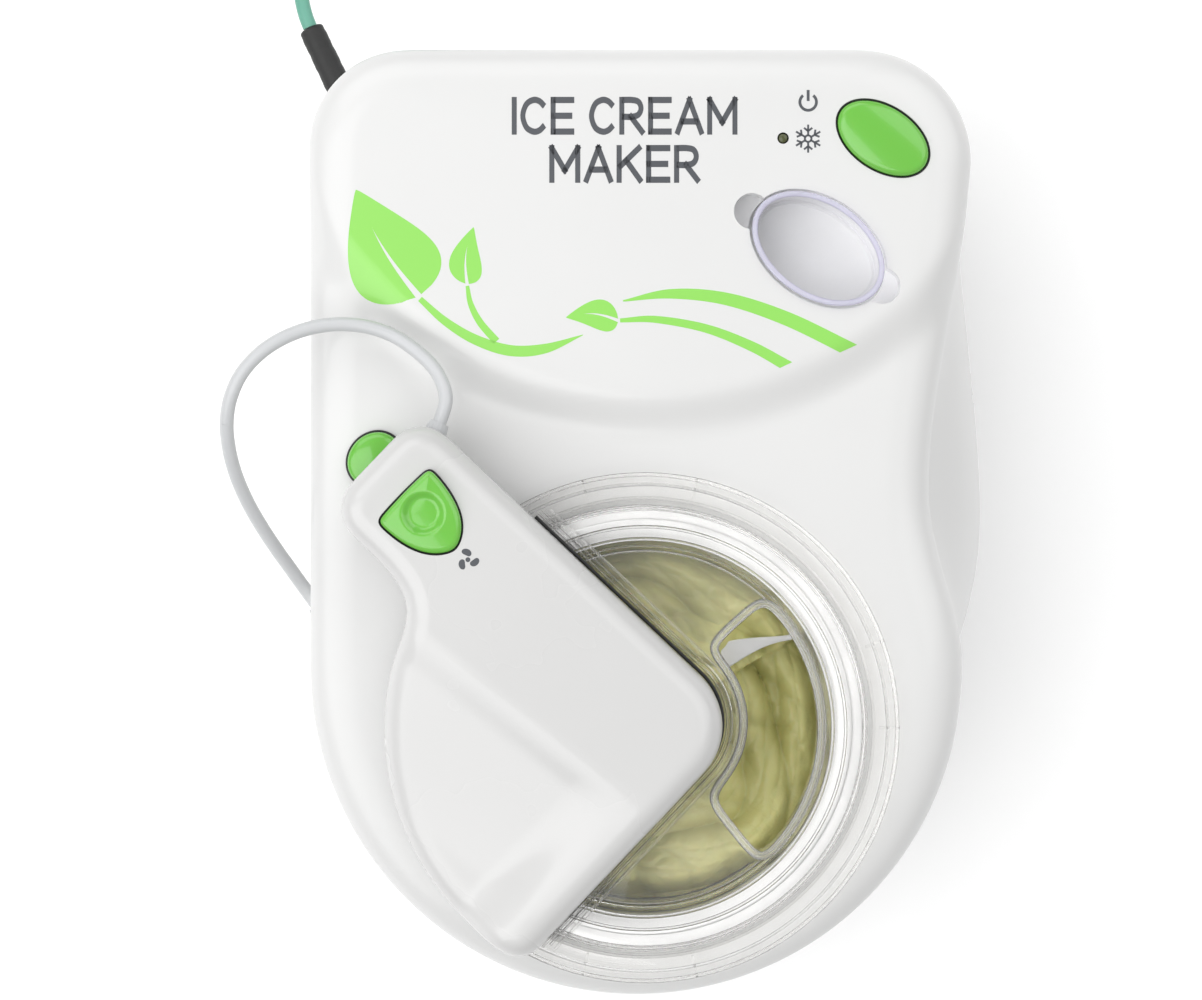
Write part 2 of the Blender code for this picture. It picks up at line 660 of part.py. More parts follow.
def make_paddle():
    low, high = BOWL_FLOOR_Z + BOWL_WALL + 1.4, 176.0
    hub = turned_solid("paddle", [(11, low), (11, 140), (9.5, 188)], AXIS, PLASTIC_WHITE, "paddle", 24)
    angle = math.radians(30)
    sweep = low + 2.4
    for name, reach, turn, top in (("long", 71.0, 0, high), ("short", 50.0, math.pi, high - 26)):
        a = angle + turn
        along, across = (math.cos(a), math.sin(a)), (-math.sin(a), math.cos(a))
        outline = []
        for s, w in ((5, -2), (reach, -1.2), (reach, 1.2), (5, 2)):
            outline.append((AXIS[0] + s * along[0] + w * across[0], AXIS[1] + s * along[1] + w * across[1]))
        join(hub, prism(f"add_blade_{name}", outline, sweep, top, PLASTIC_WHITE, "paddle"))
        outline = []
        for s, w in ((20, -5), (reach - 13, -5), (reach - 13, 5), (20, 5)):
            outline.append((AXIS[0] + s * along[0] + w * across[0], AXIS[1] + s * along[1] + w * across[1]))
        cut(hub, prism(f"cut_window_{name}", outline, low + 22, top - 16, PLASTIC_WHITE, "paddle"))
    cut(hub, prism("cut_pin", circle(AXIS, 4.4, 16), low - 5, 101, PLASTIC_WHITE, "paddle"))
    socket = [unit_point(u, v) for u, v in ((-4.5, -4.5), (4.5, -4.5), (4.5, 4.5), (-4.5, 4.5))]
    cut(hub, prism("cut_socket", socket, 170, 195, PLASTIC_WHITE, "paddle"))


def make_lid():
    top = [(LID_RADIUS, 190.3), (LID_RADIUS, 195), (97.2, 195), (96.4, 192.8), (91.6, 192.8)]
    top += [(88.4, 198), (80, 198), (76, 195), (8, 195)]
    under = [(8, 193), (70.6, 193), (70.6, 183), (72.6, 183), (72.6, 193)]
    under += [(77, 193.2), (80.6, 196), (87.4, 196), (90.4, 190.3)]
    lid = turned("lid", top + under, AXIS, PLASTIC_CLEAR, "lid", steps=36)
    join(lid, prism("add_port", port_outline(1.0), 186, 200, PLASTIC_CLEAR, "lid"))
    cut(lid, prism("cut_port", port_outline(3.2), 180, 205, PLASTIC_CLEAR, "lid"))


# ---------------------------------------------------------------- motor unit


def make_unit_shells():
    outside = [(0.6, SPLIT_Z + GAP), (0.0, 207), (0.4, 222), (2.4, 233), (5.4, 239.5), (8.6, UNIT_TOP_Z)]
    inside = [(9.0, UNIT_TOP_Z - 2.4), (5.2, 233), (2.8, 221), (2.6, SPLIT_Z + GAP)]
    rings = [at_height(unit_outline(d), z) for d, z in inside + outside]
    upper = loft("motor_unit_cover", rings, PLASTIC_WHITE, "motor_unit")
    hole = pick_outline(MIX_BUTTON, 0.8)
    cut(upper, prism("cut_mix_button", hole, 225, 250, PLASTIC_WHITE, "motor_unit"))
    hole = [(0, 5.2), (1, 5.2)]
    cut(upper, rod("cut_unit_grommet", cable_point(4), cable_point(20), hole, RUBBER, "motor_unit"))

    tray = [(4.5, UNIT_Z), (0.8, UNIT_Z + 1.6), (0.8, SPLIT_Z), (3.4, SPLIT_Z), (3.4, UNIT_Z + 2.2)]
    rings = [at_height(unit_outline(d), z) for d, z in tray]
    lower = loft("motor_unit_base", rings, PLASTIC_WHITE, "motor_unit")
    foot = [unit_point(u, v) for u, v in ((-140, -20), (-113, -20), (-113, 12), (-140, 12))]
    join(lower, prism("add_tail_foot", foot, DECK_Z + GAP, UNIT_Z + 1, PLASTIC_WHITE, "motor_unit"))
    tongue = [unit_point(u, v) for u, v in ((-137.4, -9.6), (-130.6, -9.6), (-130.6, 1.6), (-137.4, 1.6))]
    join(lower, prism("add_tongue", tongue, 181, UNIT_Z - 5, PLASTIC_WHITE, "motor_unit"))
    cut(lower, prism("cut_bush", circle(AXIS, 9.3, 20), 190, 210, PLASTIC_WHITE, "motor_unit"))


def make_drive():
    middle = unit_point(-GEAR_DISTANCE, 0)
    motor = unit_point(-2 * GEAR_DISTANCE, 0)
    along = -BAR_ANGLE  # direction of the bar, from the tail to the bowl's centre
    pinion_half = math.pi / PINION_TEETH
    gear_half = math.pi / GEAR_TEETH

    outline = gear_outline(GEAR_TEETH, AXIS, along + math.pi)
    gear = prism("output_gear", outline, 208.5, 212.3, GEAR_NYLON, "output_drive")
    shaft = [(5.0, 188), (5.0, 216.5)]
    join(gear, turned_solid("add_shaft", shaft, AXIS, STEEL, "output_drive", 20))
    square = [unit_point(u, v) for u, v in ((-4, -4), (4, -4), (4, 4), (-4, 4))]
    join(gear, prism("add_square_end", square, 172, 189, STEEL, "output_drive"))
    bush = [(5.3, 196.5), (9.0, 196.5), (9.0, 203.6), (5.3, 203.6)]
    turned("output_bush", bush, AXIS, STEEL, "motor_unit", 20)

    outline = gear_outline(GEAR_TEETH, middle, along + math.pi + gear_half)
    compound = prism("intermediate_gear", outline, 203.9, 208.0, GEAR_NYLON, "intermediate_gear")
    outline = gear_outline(PINION_TEETH, middle, along + pinion_half)
    join(compound, prism("add_small_gear", outline, 207, 212.3, GEAR_NYLON, "intermediate_gear"))
    bore = circle(middle, 2.4, 14)
    cut(compound, prism("cut_gear_bore", bore, 200, 216, GEAR_NYLON, "intermediate_gear"))
    turned_solid("gear_pin", [(2.0, 201.6), (2.0, 215)], middle, STEEL, "motor_unit", 14)

    outline = gear_outline(PINION_TEETH, motor, along)
    pinion = prism("motor_pinion", outline, 203.9, 208.2, STEEL, "motor_rotor")
    join(pinion, turned_solid("add_motor_shaft", [(2.0, 207), (2.0, 226)], motor, STEEL, "motor_rotor", 14))
    can = [(21, 216), (21.5, 218), (21.5, 234), (19, 237)]
    can = turned_solid("drive_motor", can, motor, STEEL, "motor_unit", 28)
    cut(can, prism("cut_motor_bore", circle(motor, 2.5, 14), 214, 229, STEEL, "motor_unit"))

    plate = [unit_point(u, v) for u, v in ((-82, -25), (10, -25), (20, -12), (20, 22), (-82, 22))]
    bridge = prism("gearbox_plate", plate, 213.4, 215.4, STEEL, "motor_unit")
    for name, spot, r in (("out", AXIS, 5.4), ("middle", middle, 2.4), ("motor", motor, 3.0)):
        cut(bridge, prism("cut_plate_" + name, circle(spot, r, 16), 212, 217, STEEL, "motor_unit"))


def make_unit_controls():
    x, y = unit_point(*MIX_BUTTON)
    skirt = [(-5.0, 237.0), (0.0, 238.5), (0.0, 244.4), (-1.4, 246), (-4.5, 247)]
    rings = [at_height(pick_outline(MIX_BUTTON, d), z) for d, z in skirt]
    button = loft("mixing_button", rings, PLASTIC_GREEN, "mixing_button")
    join(button, prism("add_mix_stem", circle((x, y), 3, 12), 230, 238, PLASTIC_GREEN, "mixing_button"))
    block("mixing_switch", (x - 8, y - 6, 214), (x + 8, y + 6, 226.4), PLASTIC_BLACK, "motor_unit")
    spring = helix((x, y), 4.6, 227.4, 232.6, 3, 8)
    tube("mixing_button_spring", spring, 0.8, STEEL, "motor_unit", resolution=0)


# ---------------------------------------------------------------- leads


def make_leads():
    start = (-125.0, 165.8, 30.0)
    profile = [(0.0, 7.4), (0.12, 7.4), (0.14, 5.8), (0.9, 5.2), (1.0, 4.6)]
    rod("mains_strain_relief", start, MAINS_EXIT, profile, RUBBER)
    line = [MAINS_ROUTE[0]] + smooth_through(MAINS_ROUTE, 2) + [MAINS_ROUTE[-1]]
    tube("mains_cord", line, MAINS_DIAMETER, LEAD_TEAL, resolution=2)
    r, d = COIL_RADIUS, MAINS_DIAMETER
    half = 1.55 * d
    inner, outer = r - half, r + half
    profile = [(inner + 2, 0.2), (outer - 2, 0.2), (outer, 2.5), (outer, 11)]
    profile += [(outer - 2, 13.3), (inner + 2, 13.3), (inner, 11), (inner, 2.5)]
    turned("mains_cord_coil", profile, COIL_CENTRE, LEAD_TEAL, steps=24)
    x, y = COIL_CENTRE[0] + 27.0, COIL_CENTRE[1] + COIL_RADIUS + MAINS_DIAMETER
    z = 13.2
    profile = [(0, 3.6), (0.12, 4.6), (0.24, 9), (0.38, 13), (0.86, 13), (0.9, 12.4)]
    plug = rod("mains_plug", (x, y, z), (x + 52, y, z), profile, RUBBER, steps=16)
    for side in (-1, 1):
        ends = [(x + 44, y + 9.5 * side, z), (x + 65, y + 9.5 * side, z)]
        pin = rod(f"add_pin_{side + 2}", *ends, [(0, 2.4), (0.93, 2.4), (1, 1.6)], STEEL, steps=10)
        join(plug, pin)

    taper = [(0, 4.8), (0.8, 4.8), (1, 4.0)]
    rod("cable_gland", (-130.6, -45.9, 132.0), (-139.6, -34.2, 132.0), taper, RUBBER)
    line = [CABLE_ROUTE[0]] + smooth_through(CABLE_ROUTE, 2) + [CABLE_ROUTE[-1]]
    tube("motor_cable", line, CABLE_DIAMETER, LEAD_WHITE, resolution=2)
    profile = [(0, 4.6), (0.6, 4.6), (1, 3.9)]
    rod("unit_grommet", cable_point(5), cable_point(17), profile, RUBBER, "motor_unit")


def main():
    clear_scene()
    make_body("housing")
    make_body("bowl", *AXIS)
    make_body("paddle", *AXIS)
    make_body("lid", *AXIS)
    make_body("motor_unit", *AXIS)
    make_body("output_drive", *AXIS)
    make_body("intermediate_gear", *unit_point(-GEAR_DISTANCE, 0))
    make_body("motor_rotor", *unit_point(-2 * GEAR_DISTANCE, 0))
    make_body("mixing_button", *unit_point(*MIX_BUTTON))
    make_body("power_button", *POWER_BUTTON)
    make_body("release_button", *unit_point(*RELEASE_BUTTON))
    make_body("measuring_cup", *CUP)
    make_body("fan_rotor", 70, *FAN)
    make_base()
    make_lower_housing()
    make_top_cover()
    make_deck_controls()
    make_well()
    make_cooling()
    make_bowl()
    make_paddle()
    make_lid()
    make_unit_shells()
    make_drive()
    make_unit_controls()
    make_leads()


main()
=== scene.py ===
import json
import math

import bmesh
import bpy
import numpy as np
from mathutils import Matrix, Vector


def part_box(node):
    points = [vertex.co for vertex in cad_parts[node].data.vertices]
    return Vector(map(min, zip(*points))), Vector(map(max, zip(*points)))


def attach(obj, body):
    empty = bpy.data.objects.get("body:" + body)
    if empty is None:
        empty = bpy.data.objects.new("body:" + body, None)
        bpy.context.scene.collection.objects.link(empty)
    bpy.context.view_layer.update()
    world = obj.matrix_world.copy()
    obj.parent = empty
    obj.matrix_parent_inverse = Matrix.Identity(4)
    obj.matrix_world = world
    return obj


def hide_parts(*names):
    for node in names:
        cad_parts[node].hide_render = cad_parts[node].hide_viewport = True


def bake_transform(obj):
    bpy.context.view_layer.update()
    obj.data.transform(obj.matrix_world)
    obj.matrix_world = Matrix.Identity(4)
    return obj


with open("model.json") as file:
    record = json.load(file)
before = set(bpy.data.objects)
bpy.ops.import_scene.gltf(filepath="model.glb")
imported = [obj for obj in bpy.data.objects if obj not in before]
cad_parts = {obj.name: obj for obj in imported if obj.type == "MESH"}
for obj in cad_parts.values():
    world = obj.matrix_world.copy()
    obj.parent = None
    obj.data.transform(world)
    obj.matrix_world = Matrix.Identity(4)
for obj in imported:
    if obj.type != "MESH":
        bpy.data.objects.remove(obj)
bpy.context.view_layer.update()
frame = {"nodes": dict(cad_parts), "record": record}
mm = 0.001


def boxOf(node):
    # a CAD node's lowest and highest corner, in millimetres
    low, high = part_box(node)
    return np.array(low) / mm, np.array(high) / mm


bowlLow, bowlHigh = boxOf("bowl")
axis = (bowlLow[:2] + bowlHigh[:2]) / 2  # the bowl's and the drive's vertical axis
housingLow, housingHigh = boxOf("lower_housing")
print("frame loaded,", len(frame["nodes"]), "nodes")


def arcPoints(cx, cy, radius, start, end, steps):
    # centre plus radius times (cosine, sine) of evenly spaced angles in degrees
    a = np.radians(np.linspace(start, end, steps))
    return np.stack([cx + radius * np.cos(a), cy + radius * np.sin(a)], axis=1)


def throughPoints(points, steps):
    # Catmull-Rom: a cubic between each two points whose slopes are half the span of their neighbours
    p = np.array(points, float)
    p = np.vstack([2 * p[0] - p[1], p, 2 * p[-1] - p[-2]])
    t = np.linspace(0, 1, steps, endpoint=False)[None, :, None]
    a, b, c, d = (p[k : len(p) - 3 + k, None, :] for k in range(4))
    curve = 0.5 * (2 * b + (c - a) * t + (2 * a - 5 * b + 4 * c - d) * t**2 + (3 * b - a - 3 * c + d) * t**3)
    return np.vstack([curve.reshape(-1, p.shape[1]), p[-2]])


def evenly(points, count, closed=True):
    # the same line again with its points an equal length apart
    line = np.vstack([points, points[:1]]) if closed else np.array(points, float)
    steps = np.linalg.norm(np.diff(line, axis=0), axis=1)
    line = line[np.concatenate([[True], steps > 1e-6])]
    along = np.concatenate([[0], np.cumsum(np.linalg.norm(np.diff(line, axis=0), axis=1))])
    at = np.linspace(0, along[-1], count + 1)[:-1] if closed else np.linspace(0, along[-1], count)
    return np.stack([np.interp(at, along, line[:, k]) for k in range(line.shape[1])], axis=1)


def insetLoop(loop, distance):
    # every point moved along the inward normal: the chord between its neighbours turned by 90 degrees
    chord = np.roll(loop, -1, axis=0) - np.roll(loop, 1, axis=0)
    chord /= np.linalg.norm(chord, axis=1)[:, None]
    return loop + np.stack([-chord[:, 1], chord[:, 0]], axis=1) * distance


def smoothStep(x):
    # 3x squared minus 2x cubed, held at 0 and 1 outside
    x = np.clip(x, 0, 1)
    return x * x * (3 - 2 * x)


def lifted(loop, z):
    # a flat loop's points with a height added, one for all or one each
    z = np.broadcast_to(z, len(loop))
    return np.column_stack([loop, z])


def roundedProfile(points, radius, steps=4):
    # each corner of an open profile is cut back by the radius and joined by a quadratic curve
    p = np.array(points, float)
    out = [p[0]]
    for before, corner, after in zip(p[:-2], p[1:-1], p[2:]):
        back, on = before - corner, after - corner
        cut = min(radius, np.linalg.norm(back) * 0.48, np.linalg.norm(on) * 0.48)
        a = corner + back / np.linalg.norm(back) * cut
        b = corner + on / np.linalg.norm(on) * cut
        for t in np.linspace(0, 1, steps):
            out.append((1 - t) ** 2 * a + 2 * t * (1 - t) * corner + t * t * b)
    out.append(p[-1])
    return np.array(out)


def makeMesh(name, points, quads, tris=(), closed=True, sharp=40, whole=()):
    # millimetre points and index arrays become one mesh with smooth shading and sharp corners kept
    mesh = bpy.data.meshes.new(name)
    faces = [tuple(q) for q in np.asarray(quads).tolist()] + [tuple(t) for t in np.asarray(tris).tolist()]
    faces += [tuple(w) for w in whole]
    mesh.from_pydata((np.asarray(points) * mm).tolist(), [], faces)
    work = bmesh.new()
    work.from_mesh(mesh)
    bmesh.ops.remove_doubles(work, verts=work.verts, dist=1e-6)
    if closed:
        bmesh.ops.recalc_face_normals(work, faces=work.faces)
    work.to_mesh(mesh)
    work.free()
    mesh.shade_smooth()
    mesh.set_sharp_from_angle(angle=math.radians(sharp))
    obj = bpy.data.objects.new(name, mesh)
    bpy.context.scene.collection.objects.link(obj)
    return obj


def ringMesh(name, rings, ringShaped=False, caps=(True, True), sharp=40, around=True):
    # rows of equal length joined row to row by quads; caps are fans to each end row's middle
    rings = np.asarray(rings, float)
    rows, cols = rings.shape[:2]
    points = rings.reshape(-1, 3)
    across = cols if around else cols - 1
    r = np.arange(rows if ringShaped else rows - 1)[:, None]
    c = np.arange(across)[None, :]
    nextRow, nextCol = (r + 1) % rows, (c + 1) % cols
    here, there = r * cols, nextRow * cols
    quads = np.stack([here + c, here + nextCol, there + nextCol, there + c], axis=-1)
    tris, whole = [], []
    if not ringShaped and around:
        for use, row, flip in ((caps[0], 0, True), (caps[1], rows - 1, False)):
            i = row * cols + np.arange(cols)
            if use == "flat":
                whole.append(i[:: -1 if flip else 1].tolist())
            elif use:
                middle = len(points)
                points = np.vstack([points, rings[row].mean(axis=0)])
                fan = np.stack([i, np.roll(i, -1), np.full(cols, middle)], axis=1)
                tris.append(fan[:, ::-1] if flip else fan)
    closed = ringShaped or (around and all(caps))
    capping = np.vstack(tris) if tris else ()
    return makeMesh(name, points, quads.reshape(-1, 4), capping, closed, sharp, whole)


def turnedMesh(name, profile, count=96, ringShaped=False, centre=None, sharp=40):
    # each (radius, height) of the profile becomes a circle about a vertical axis
    centre = axis if centre is None else centre
    a = np.linspace(0, 2 * np.pi, count, endpoint=False)
    p = np.array(profile, float)
    rings = np.empty((len(p), count, 3))
    rings[:, :, 0] = centre[0] + p[:, :1] * np.cos(a)
    rings[:, :, 1] = centre[1] + p[:, :1] * np.sin(a)
    rings[:, :, 2] = p[:, 1:]
    return ringMesh(name, rings, ringShaped, sharp=sharp)


def sweptMesh(name, path, radius, sides=16, sharp=60):
    # circles square to the path, turned step by step so that they never twist; the radius may vary along it
    path = np.asarray(path, float)
    along = np.gradient(path, axis=0)
    along /= np.linalg.norm(along, axis=1)[:, None]
    side = np.cross(along[0], [0, 0, 1.0] if abs(along[0][2]) < 0.9 else [1.0, 0, 0])
    a = np.linspace(0, 2 * np.pi, sides, endpoint=False)
    radius = np.broadcast_to(radius, len(path))
    rings = []
    for point, direction, r in zip(path, along, radius):
        side = side - direction * side.dot(direction)
        side /= np.linalg.norm(side)
        up = np.cross(direction, side)
        rings.append(point + r * (np.cos(a)[:, None] * side + np.sin(a)[:, None] * up))
    return ringMesh(name, rings, sharp=sharp)


def settled(obj):
    # modifiers written into the mesh, cutters left behind
    bpy.context.view_layer.update()
    mesh = bpy.data.meshes.new_from_object(obj.evaluated_get(bpy.context.evaluated_depsgraph_get()))
    obj.modifiers.clear()
    obj.data = mesh
    mesh.shade_smooth()
    mesh.set_sharp_from_angle(angle=math.radians(35))
    return obj


def combine(obj, others, operation):
    # exact joins or cuts with other closed meshes, one after another, kept as plain mesh
    for other in others:
        step = obj.modifiers.new(other.name, "BOOLEAN")
        step.operation = operation
        step.solver = "EXACT"
        step.object = other
    settled(obj)
    for other in others:
        bpy.data.objects.remove(other)
    return obj


def outward(obj):
    # faces point out when the sum of area times how far each looks away from the middle is positive
    faces = obj.data.polygons
    centre, normal, area = np.empty(len(faces) * 3), np.empty(len(faces) * 3), np.empty(len(faces))
    faces.foreach_get("center", centre)
    faces.foreach_get("normal", normal)
    faces.foreach_get("area", area)
    centre, normal = centre.reshape(-1, 3), normal.reshape(-1, 3)
    middle = (centre * area[:, None]).sum(axis=0) / area.sum()
    if (((centre - middle) * normal).sum(axis=1) * area).sum() < 0:
        obj.data.flip_normals()
    return obj


def walled(obj, thickness):
    # a skin given thickness inwards, kept as plain mesh
    step = obj.modifiers.new("wall", "SOLIDIFY")
    step.thickness = thickness * mm
    step.offset = -1
    step.use_even_offset = False
    return settled(obj)


def piece(obj, body, material, replaces=()):
    # one material, the body that it rides on and the CAD nodes that it stands for
    obj.data.materials.clear()
    obj.data.materials.append(material)
    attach(obj, body)
    if replaces:
        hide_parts(*replaces)
    return obj


def newGroup(name, inputs, outputs):
    # an empty shader group with its sockets, ready for nodes
    group = bpy.data.node_groups.new(name, "ShaderNodeTree")
    for label, kind, value in inputs:
        socket = group.interface.new_socket(name=label, in_out="INPUT", socket_type=kind)
        socket.default_value = value
    for label, kind in outputs:
        group.interface.new_socket(name=label, in_out="OUTPUT", socket_type=kind)
    nodes = group.nodes
    return group, nodes.new("NodeGroupInput"), nodes.new("NodeGroupOutput"), nodes, group.links


def mouldedSurface():
    # fine moulding texture: a bump from small noise, and slow drift of roughness and tint
    sockets = [("Grain", "NodeSocketFloat", 900.0), ("Depth", "NodeSocketFloat", 0.02)]
    sockets += [("Roughness", "NodeSocketFloat", 0.2), ("Drift", "NodeSocketFloat", 0.05)]
    outs = [("Roughness", "NodeSocketFloat"), ("Tint", "NodeSocketFloat"), ("Normal", "NodeSocketVector")]
    group, given, out, nodes, links = newGroup("mouldedSurface", sockets, outs)
    where = nodes.new("ShaderNodeTexCoord")
    fine = nodes.new("ShaderNodeTexNoise")
    links.new(where.outputs["Object"], fine.inputs["Vector"])
    links.new(given.outputs["Grain"], fine.inputs["Scale"])
    fine.inputs["Detail"].default_value = 3
    slow = nodes.new("ShaderNodeTexNoise")
    links.new(where.outputs["Object"], slow.inputs["Vector"])
    slow.inputs["Scale"].default_value = 9
    slow.inputs["Detail"].default_value = 4
    bump = nodes.new("ShaderNodeBump")
    bump.inputs["Distance"].default_value = 0.0004
    links.new(given.outputs["Depth"], bump.inputs["Strength"])
    links.new(fine.outputs["Fac"], bump.inputs["Height"])
    centred = nodes.new("ShaderNodeMath")
    centred.operation = "SUBTRACT"
    links.new(slow.outputs["Fac"], centred.inputs[0])
    centred.inputs[1].default_value = 0.5
    scaled = nodes.new("ShaderNodeMath")
    scaled.operation = "MULTIPLY_ADD"
    links.new(centred.outputs[0], scaled.inputs[0])
    links.new(given.outputs["Drift"], scaled.inputs[1])
    links.new(given.outputs["Roughness"], scaled.inputs[2])
    links.new(scaled.outputs[0], out.inputs["Roughness"])
    links.new(slow.outputs["Fac"], out.inputs["Tint"])
    links.new(bump.outputs["Normal"], out.inputs["Normal"])
    return group


def brushedSurface():
    # noise stretched along Z in object space gives turned or drawn marks
    sockets = [("Stretch", "NodeSocketVector", (40.0, 40.0, 900.0)), ("Depth", "NodeSocketFloat", 0.1)]
    sockets += [("Roughness", "NodeSocketFloat", 0.3), ("Drift", "NodeSocketFloat", 0.2)]
    outs = [("Roughness", "NodeSocketFloat"), ("Tint", "NodeSocketFloat"), ("Normal", "NodeSocketVector")]
    group, given, out, nodes, links = newGroup("brushedSurface", sockets, outs)
    where = nodes.new("ShaderNodeTexCoord")
    stretch = nodes.new("ShaderNodeVectorMath")
    stretch.operation = "MULTIPLY"
    links.new(where.outputs["Object"], stretch.inputs[0])
    links.new(given.outputs["Stretch"], stretch.inputs[1])
    noise = nodes.new("ShaderNodeTexNoise")
    noise.inputs["Scale"].default_value = 1
    noise.inputs["Detail"].default_value = 5
    links.new(stretch.outputs[0], noise.inputs["Vector"])
    bump = nodes.new("ShaderNodeBump")
    bump.inputs["Distance"].default_value = 0.0003
    links.new(given.outputs["Depth"], bump.inputs["Strength"])
    links.new(noise.outputs["Fac"], bump.inputs["Height"])
    scaled = nodes.new("ShaderNodeMath")
    scaled.operation = "MULTIPLY_ADD"
    links.new(noise.outputs["Fac"], scaled.inputs[0])
    links.new(given.outputs["Drift"], scaled.inputs[1])
    links.new(given.outputs["Roughness"], scaled.inputs[2])
    links.new(scaled.outputs[0], out.inputs["Roughness"])
    links.new(noise.outputs["Fac"], out.inputs["Tint"])
    links.new(bump.outputs["Normal"], out.inputs["Normal"])
    return group


moulded = mouldedSurface()
brushed = brushedSurface()


def finish(name, dark, light, group, values, sockets=None):
    # the group drives roughness, normal and the mix between two close colours
    mat = bpy.data.materials.new(name)
    mat.use_nodes = True
    nodes, links = mat.node_tree.nodes, mat.node_tree.links
    shader = nodes["Principled BSDF"]
    surface = nodes.new("ShaderNodeGroup")
    surface.node_tree = group
    for label, value in values.items():
        surface.inputs[label].default_value = value
    mix = nodes.new("ShaderNodeMix")
    mix.data_type = "RGBA"
    mix.inputs["A"].default_value = (*dark, 1)
    mix.inputs["B"].default_value = (*light, 1)
    links.new(surface.outputs["Tint"], mix.inputs["Factor"])
    links.new(mix.outputs["Result"], shader.inputs["Base Color"])
    links.new(surface.outputs["Roughness"], shader.inputs["Roughness"])
    links.new(surface.outputs["Normal"], shader.inputs["Normal"])
    for label, value in (sockets or {}).items():
        shader.inputs[label].default_value = value
    return mat


whitePlastic = finish(
    "whitePlastic",
    (0.655, 0.655, 0.65),
    (0.695, 0.695, 0.69),
    moulded,
    {"Grain": 500.0, "Depth": 0.015, "Roughness": 0.3, "Drift": 0.06},
    {"Coat Weight": 0.2, "Coat Roughness": 0.12, "Specular IOR Level": 0.42},
)
# painted shade: a darker copy of the white plastic for the motor unit, standing in for its top lying darker
# in the light than the deck
shadedUnitWhite = finish(
    "shadedUnitWhite",
    (0.565, 0.563, 0.558),
    (0.605, 0.603, 0.598),
    moulded,
    {"Grain": 500.0, "Depth": 0.015, "Roughness": 0.27, "Drift": 0.05},
    {"Coat Weight": 0.25, "Coat Roughness": 0.1, "Specular IOR Level": 0.45},
)
innerWhite = finish(
    "innerWhite",
    (0.7, 0.7, 0.7),
    (0.78, 0.78, 0.78),
    moulded,
    {"Grain": 700.0, "Depth": 0.05, "Roughness": 0.35, "Drift": 0.08},
)
# painted light: a brighter copy of the white plastic for the cup pocket, lifting the shade in its deep well
litPocketWhite = finish(
    "litPocketWhite",
    (0.86, 0.86, 0.86),
    (0.9, 0.9, 0.9),
    moulded,
    {"Grain": 500.0, "Depth": 0.02, "Roughness": 0.32, "Drift": 0.06},
)
greyPlastic = finish(
    "greyPlastic",
    (0.24, 0.245, 0.25),
    (0.3, 0.305, 0.31),
    moulded,
    {"Grain": 1600.0, "Depth": 0.25, "Roughness": 0.5, "Drift": 0.1},
)
blackPlastic = finish(
    "blackPlastic",
    (0.012, 0.012, 0.013),
    (0.03, 0.03, 0.032),
    moulded,
    {"Grain": 1800.0, "Depth": 0.2, "Roughness": 0.45, "Drift": 0.12},
)
greenPlastic = finish(
    "greenPlastic",
    (0.115, 0.43, 0.04),
    (0.165, 0.51, 0.062),
    moulded,
    {"Grain": 700.0, "Depth": 0.02, "Roughness": 0.2, "Drift": 0.06},
    {"Coat Weight": 0.5, "Coat Roughness": 0.05, "Subsurface Weight": 0.08, "Subsurface Scale": 0.002},
)
leafPrint = finish(
    "leafPrint",
    (0.245, 0.62, 0.095),
    (0.285, 0.67, 0.118),
    moulded,
    {"Grain": 1200.0, "Depth": 0.03, "Roughness": 0.3, "Drift": 0.08},
    {"Coat Weight": 0.3, "Coat Roughness": 0.05},
)
darkPrint = finish(
    "darkPrint",
    (0.065, 0.07, 0.08),
    (0.09, 0.095, 0.105),
    moulded,
    {"Grain": 1200.0, "Depth": 0.03, "Roughness": 0.35, "Drift": 0.08},
)
rubber = finish(
    "rubber",
    (0.010, 0.010, 0.010),
    (0.024, 0.024, 0.024),
    moulded,
    {"Grain": 2200.0, "Depth": 0.35, "Roughness": 0.55, "Drift": 0.2},
)
tealLead = finish(
    "tealLead",
    (0.10, 0.32, 0.24),
    (0.16, 0.42, 0.32),
    moulded,
    {"Grain": 1500.0, "Depth": 0.1, "Roughness": 0.4, "Drift": 0.1},
)
whiteLead = finish(
    "whiteLead",
    (0.50, 0.51, 0.52),
    (0.58, 0.59, 0.60),
    moulded,
    {"Grain": 1500.0, "Depth": 0.06, "Roughness": 0.32, "Drift": 0.1},
)
aluminium = finish(
    "aluminium",
    (0.82, 0.82, 0.82),
    (0.93, 0.93, 0.93),
    brushed,
    {"Roughness": 0.3, "Drift": 0.2, "Depth": 0.1},
    {"Metallic": 1.0},
)
steel = finish(
    "steel",
    (0.48, 0.48, 0.5),
    (0.62, 0.62, 0.64),
    brushed,
    {"Roughness": 0.18, "Drift": 0.2, "Depth": 0.1, "Stretch": (300.0, 300.0, 300.0)},
    {"Metallic": 1.0},
)
copper = finish(
    "copper",
    (0.62, 0.26, 0.14),
    (0.8, 0.42, 0.25),
    brushed,
    {"Roughness": 0.2, "Drift": 0.25, "Depth": 0.08, "Stretch": (200.0, 200.0, 200.0)},
    {"Metallic": 1.0},
)
blackSteel = finish(
    "blackSteel",
    (0.012, 0.012, 0.013),
    (0.035, 0.035, 0.037),
    moulded,
    {"Grain": 900.0, "Depth": 0.25, "Roughness": 0.32, "Drift": 0.15},
)
foamFinish = finish(
    "foamFinish",
    (0.55, 0.48, 0.27),
    (0.75, 0.68, 0.45),
    moulded,
    {"Grain": 350.0, "Depth": 1.0, "Roughness": 0.85, "Drift": 0.1},
)
nylon = finish(
    "nylon",
    (0.74, 0.71, 0.62),
    (0.83, 0.81, 0.74),
    moulded,
    {"Grain": 900.0, "Depth": 0.06, "Roughness": 0.38, "Drift": 0.1},
)
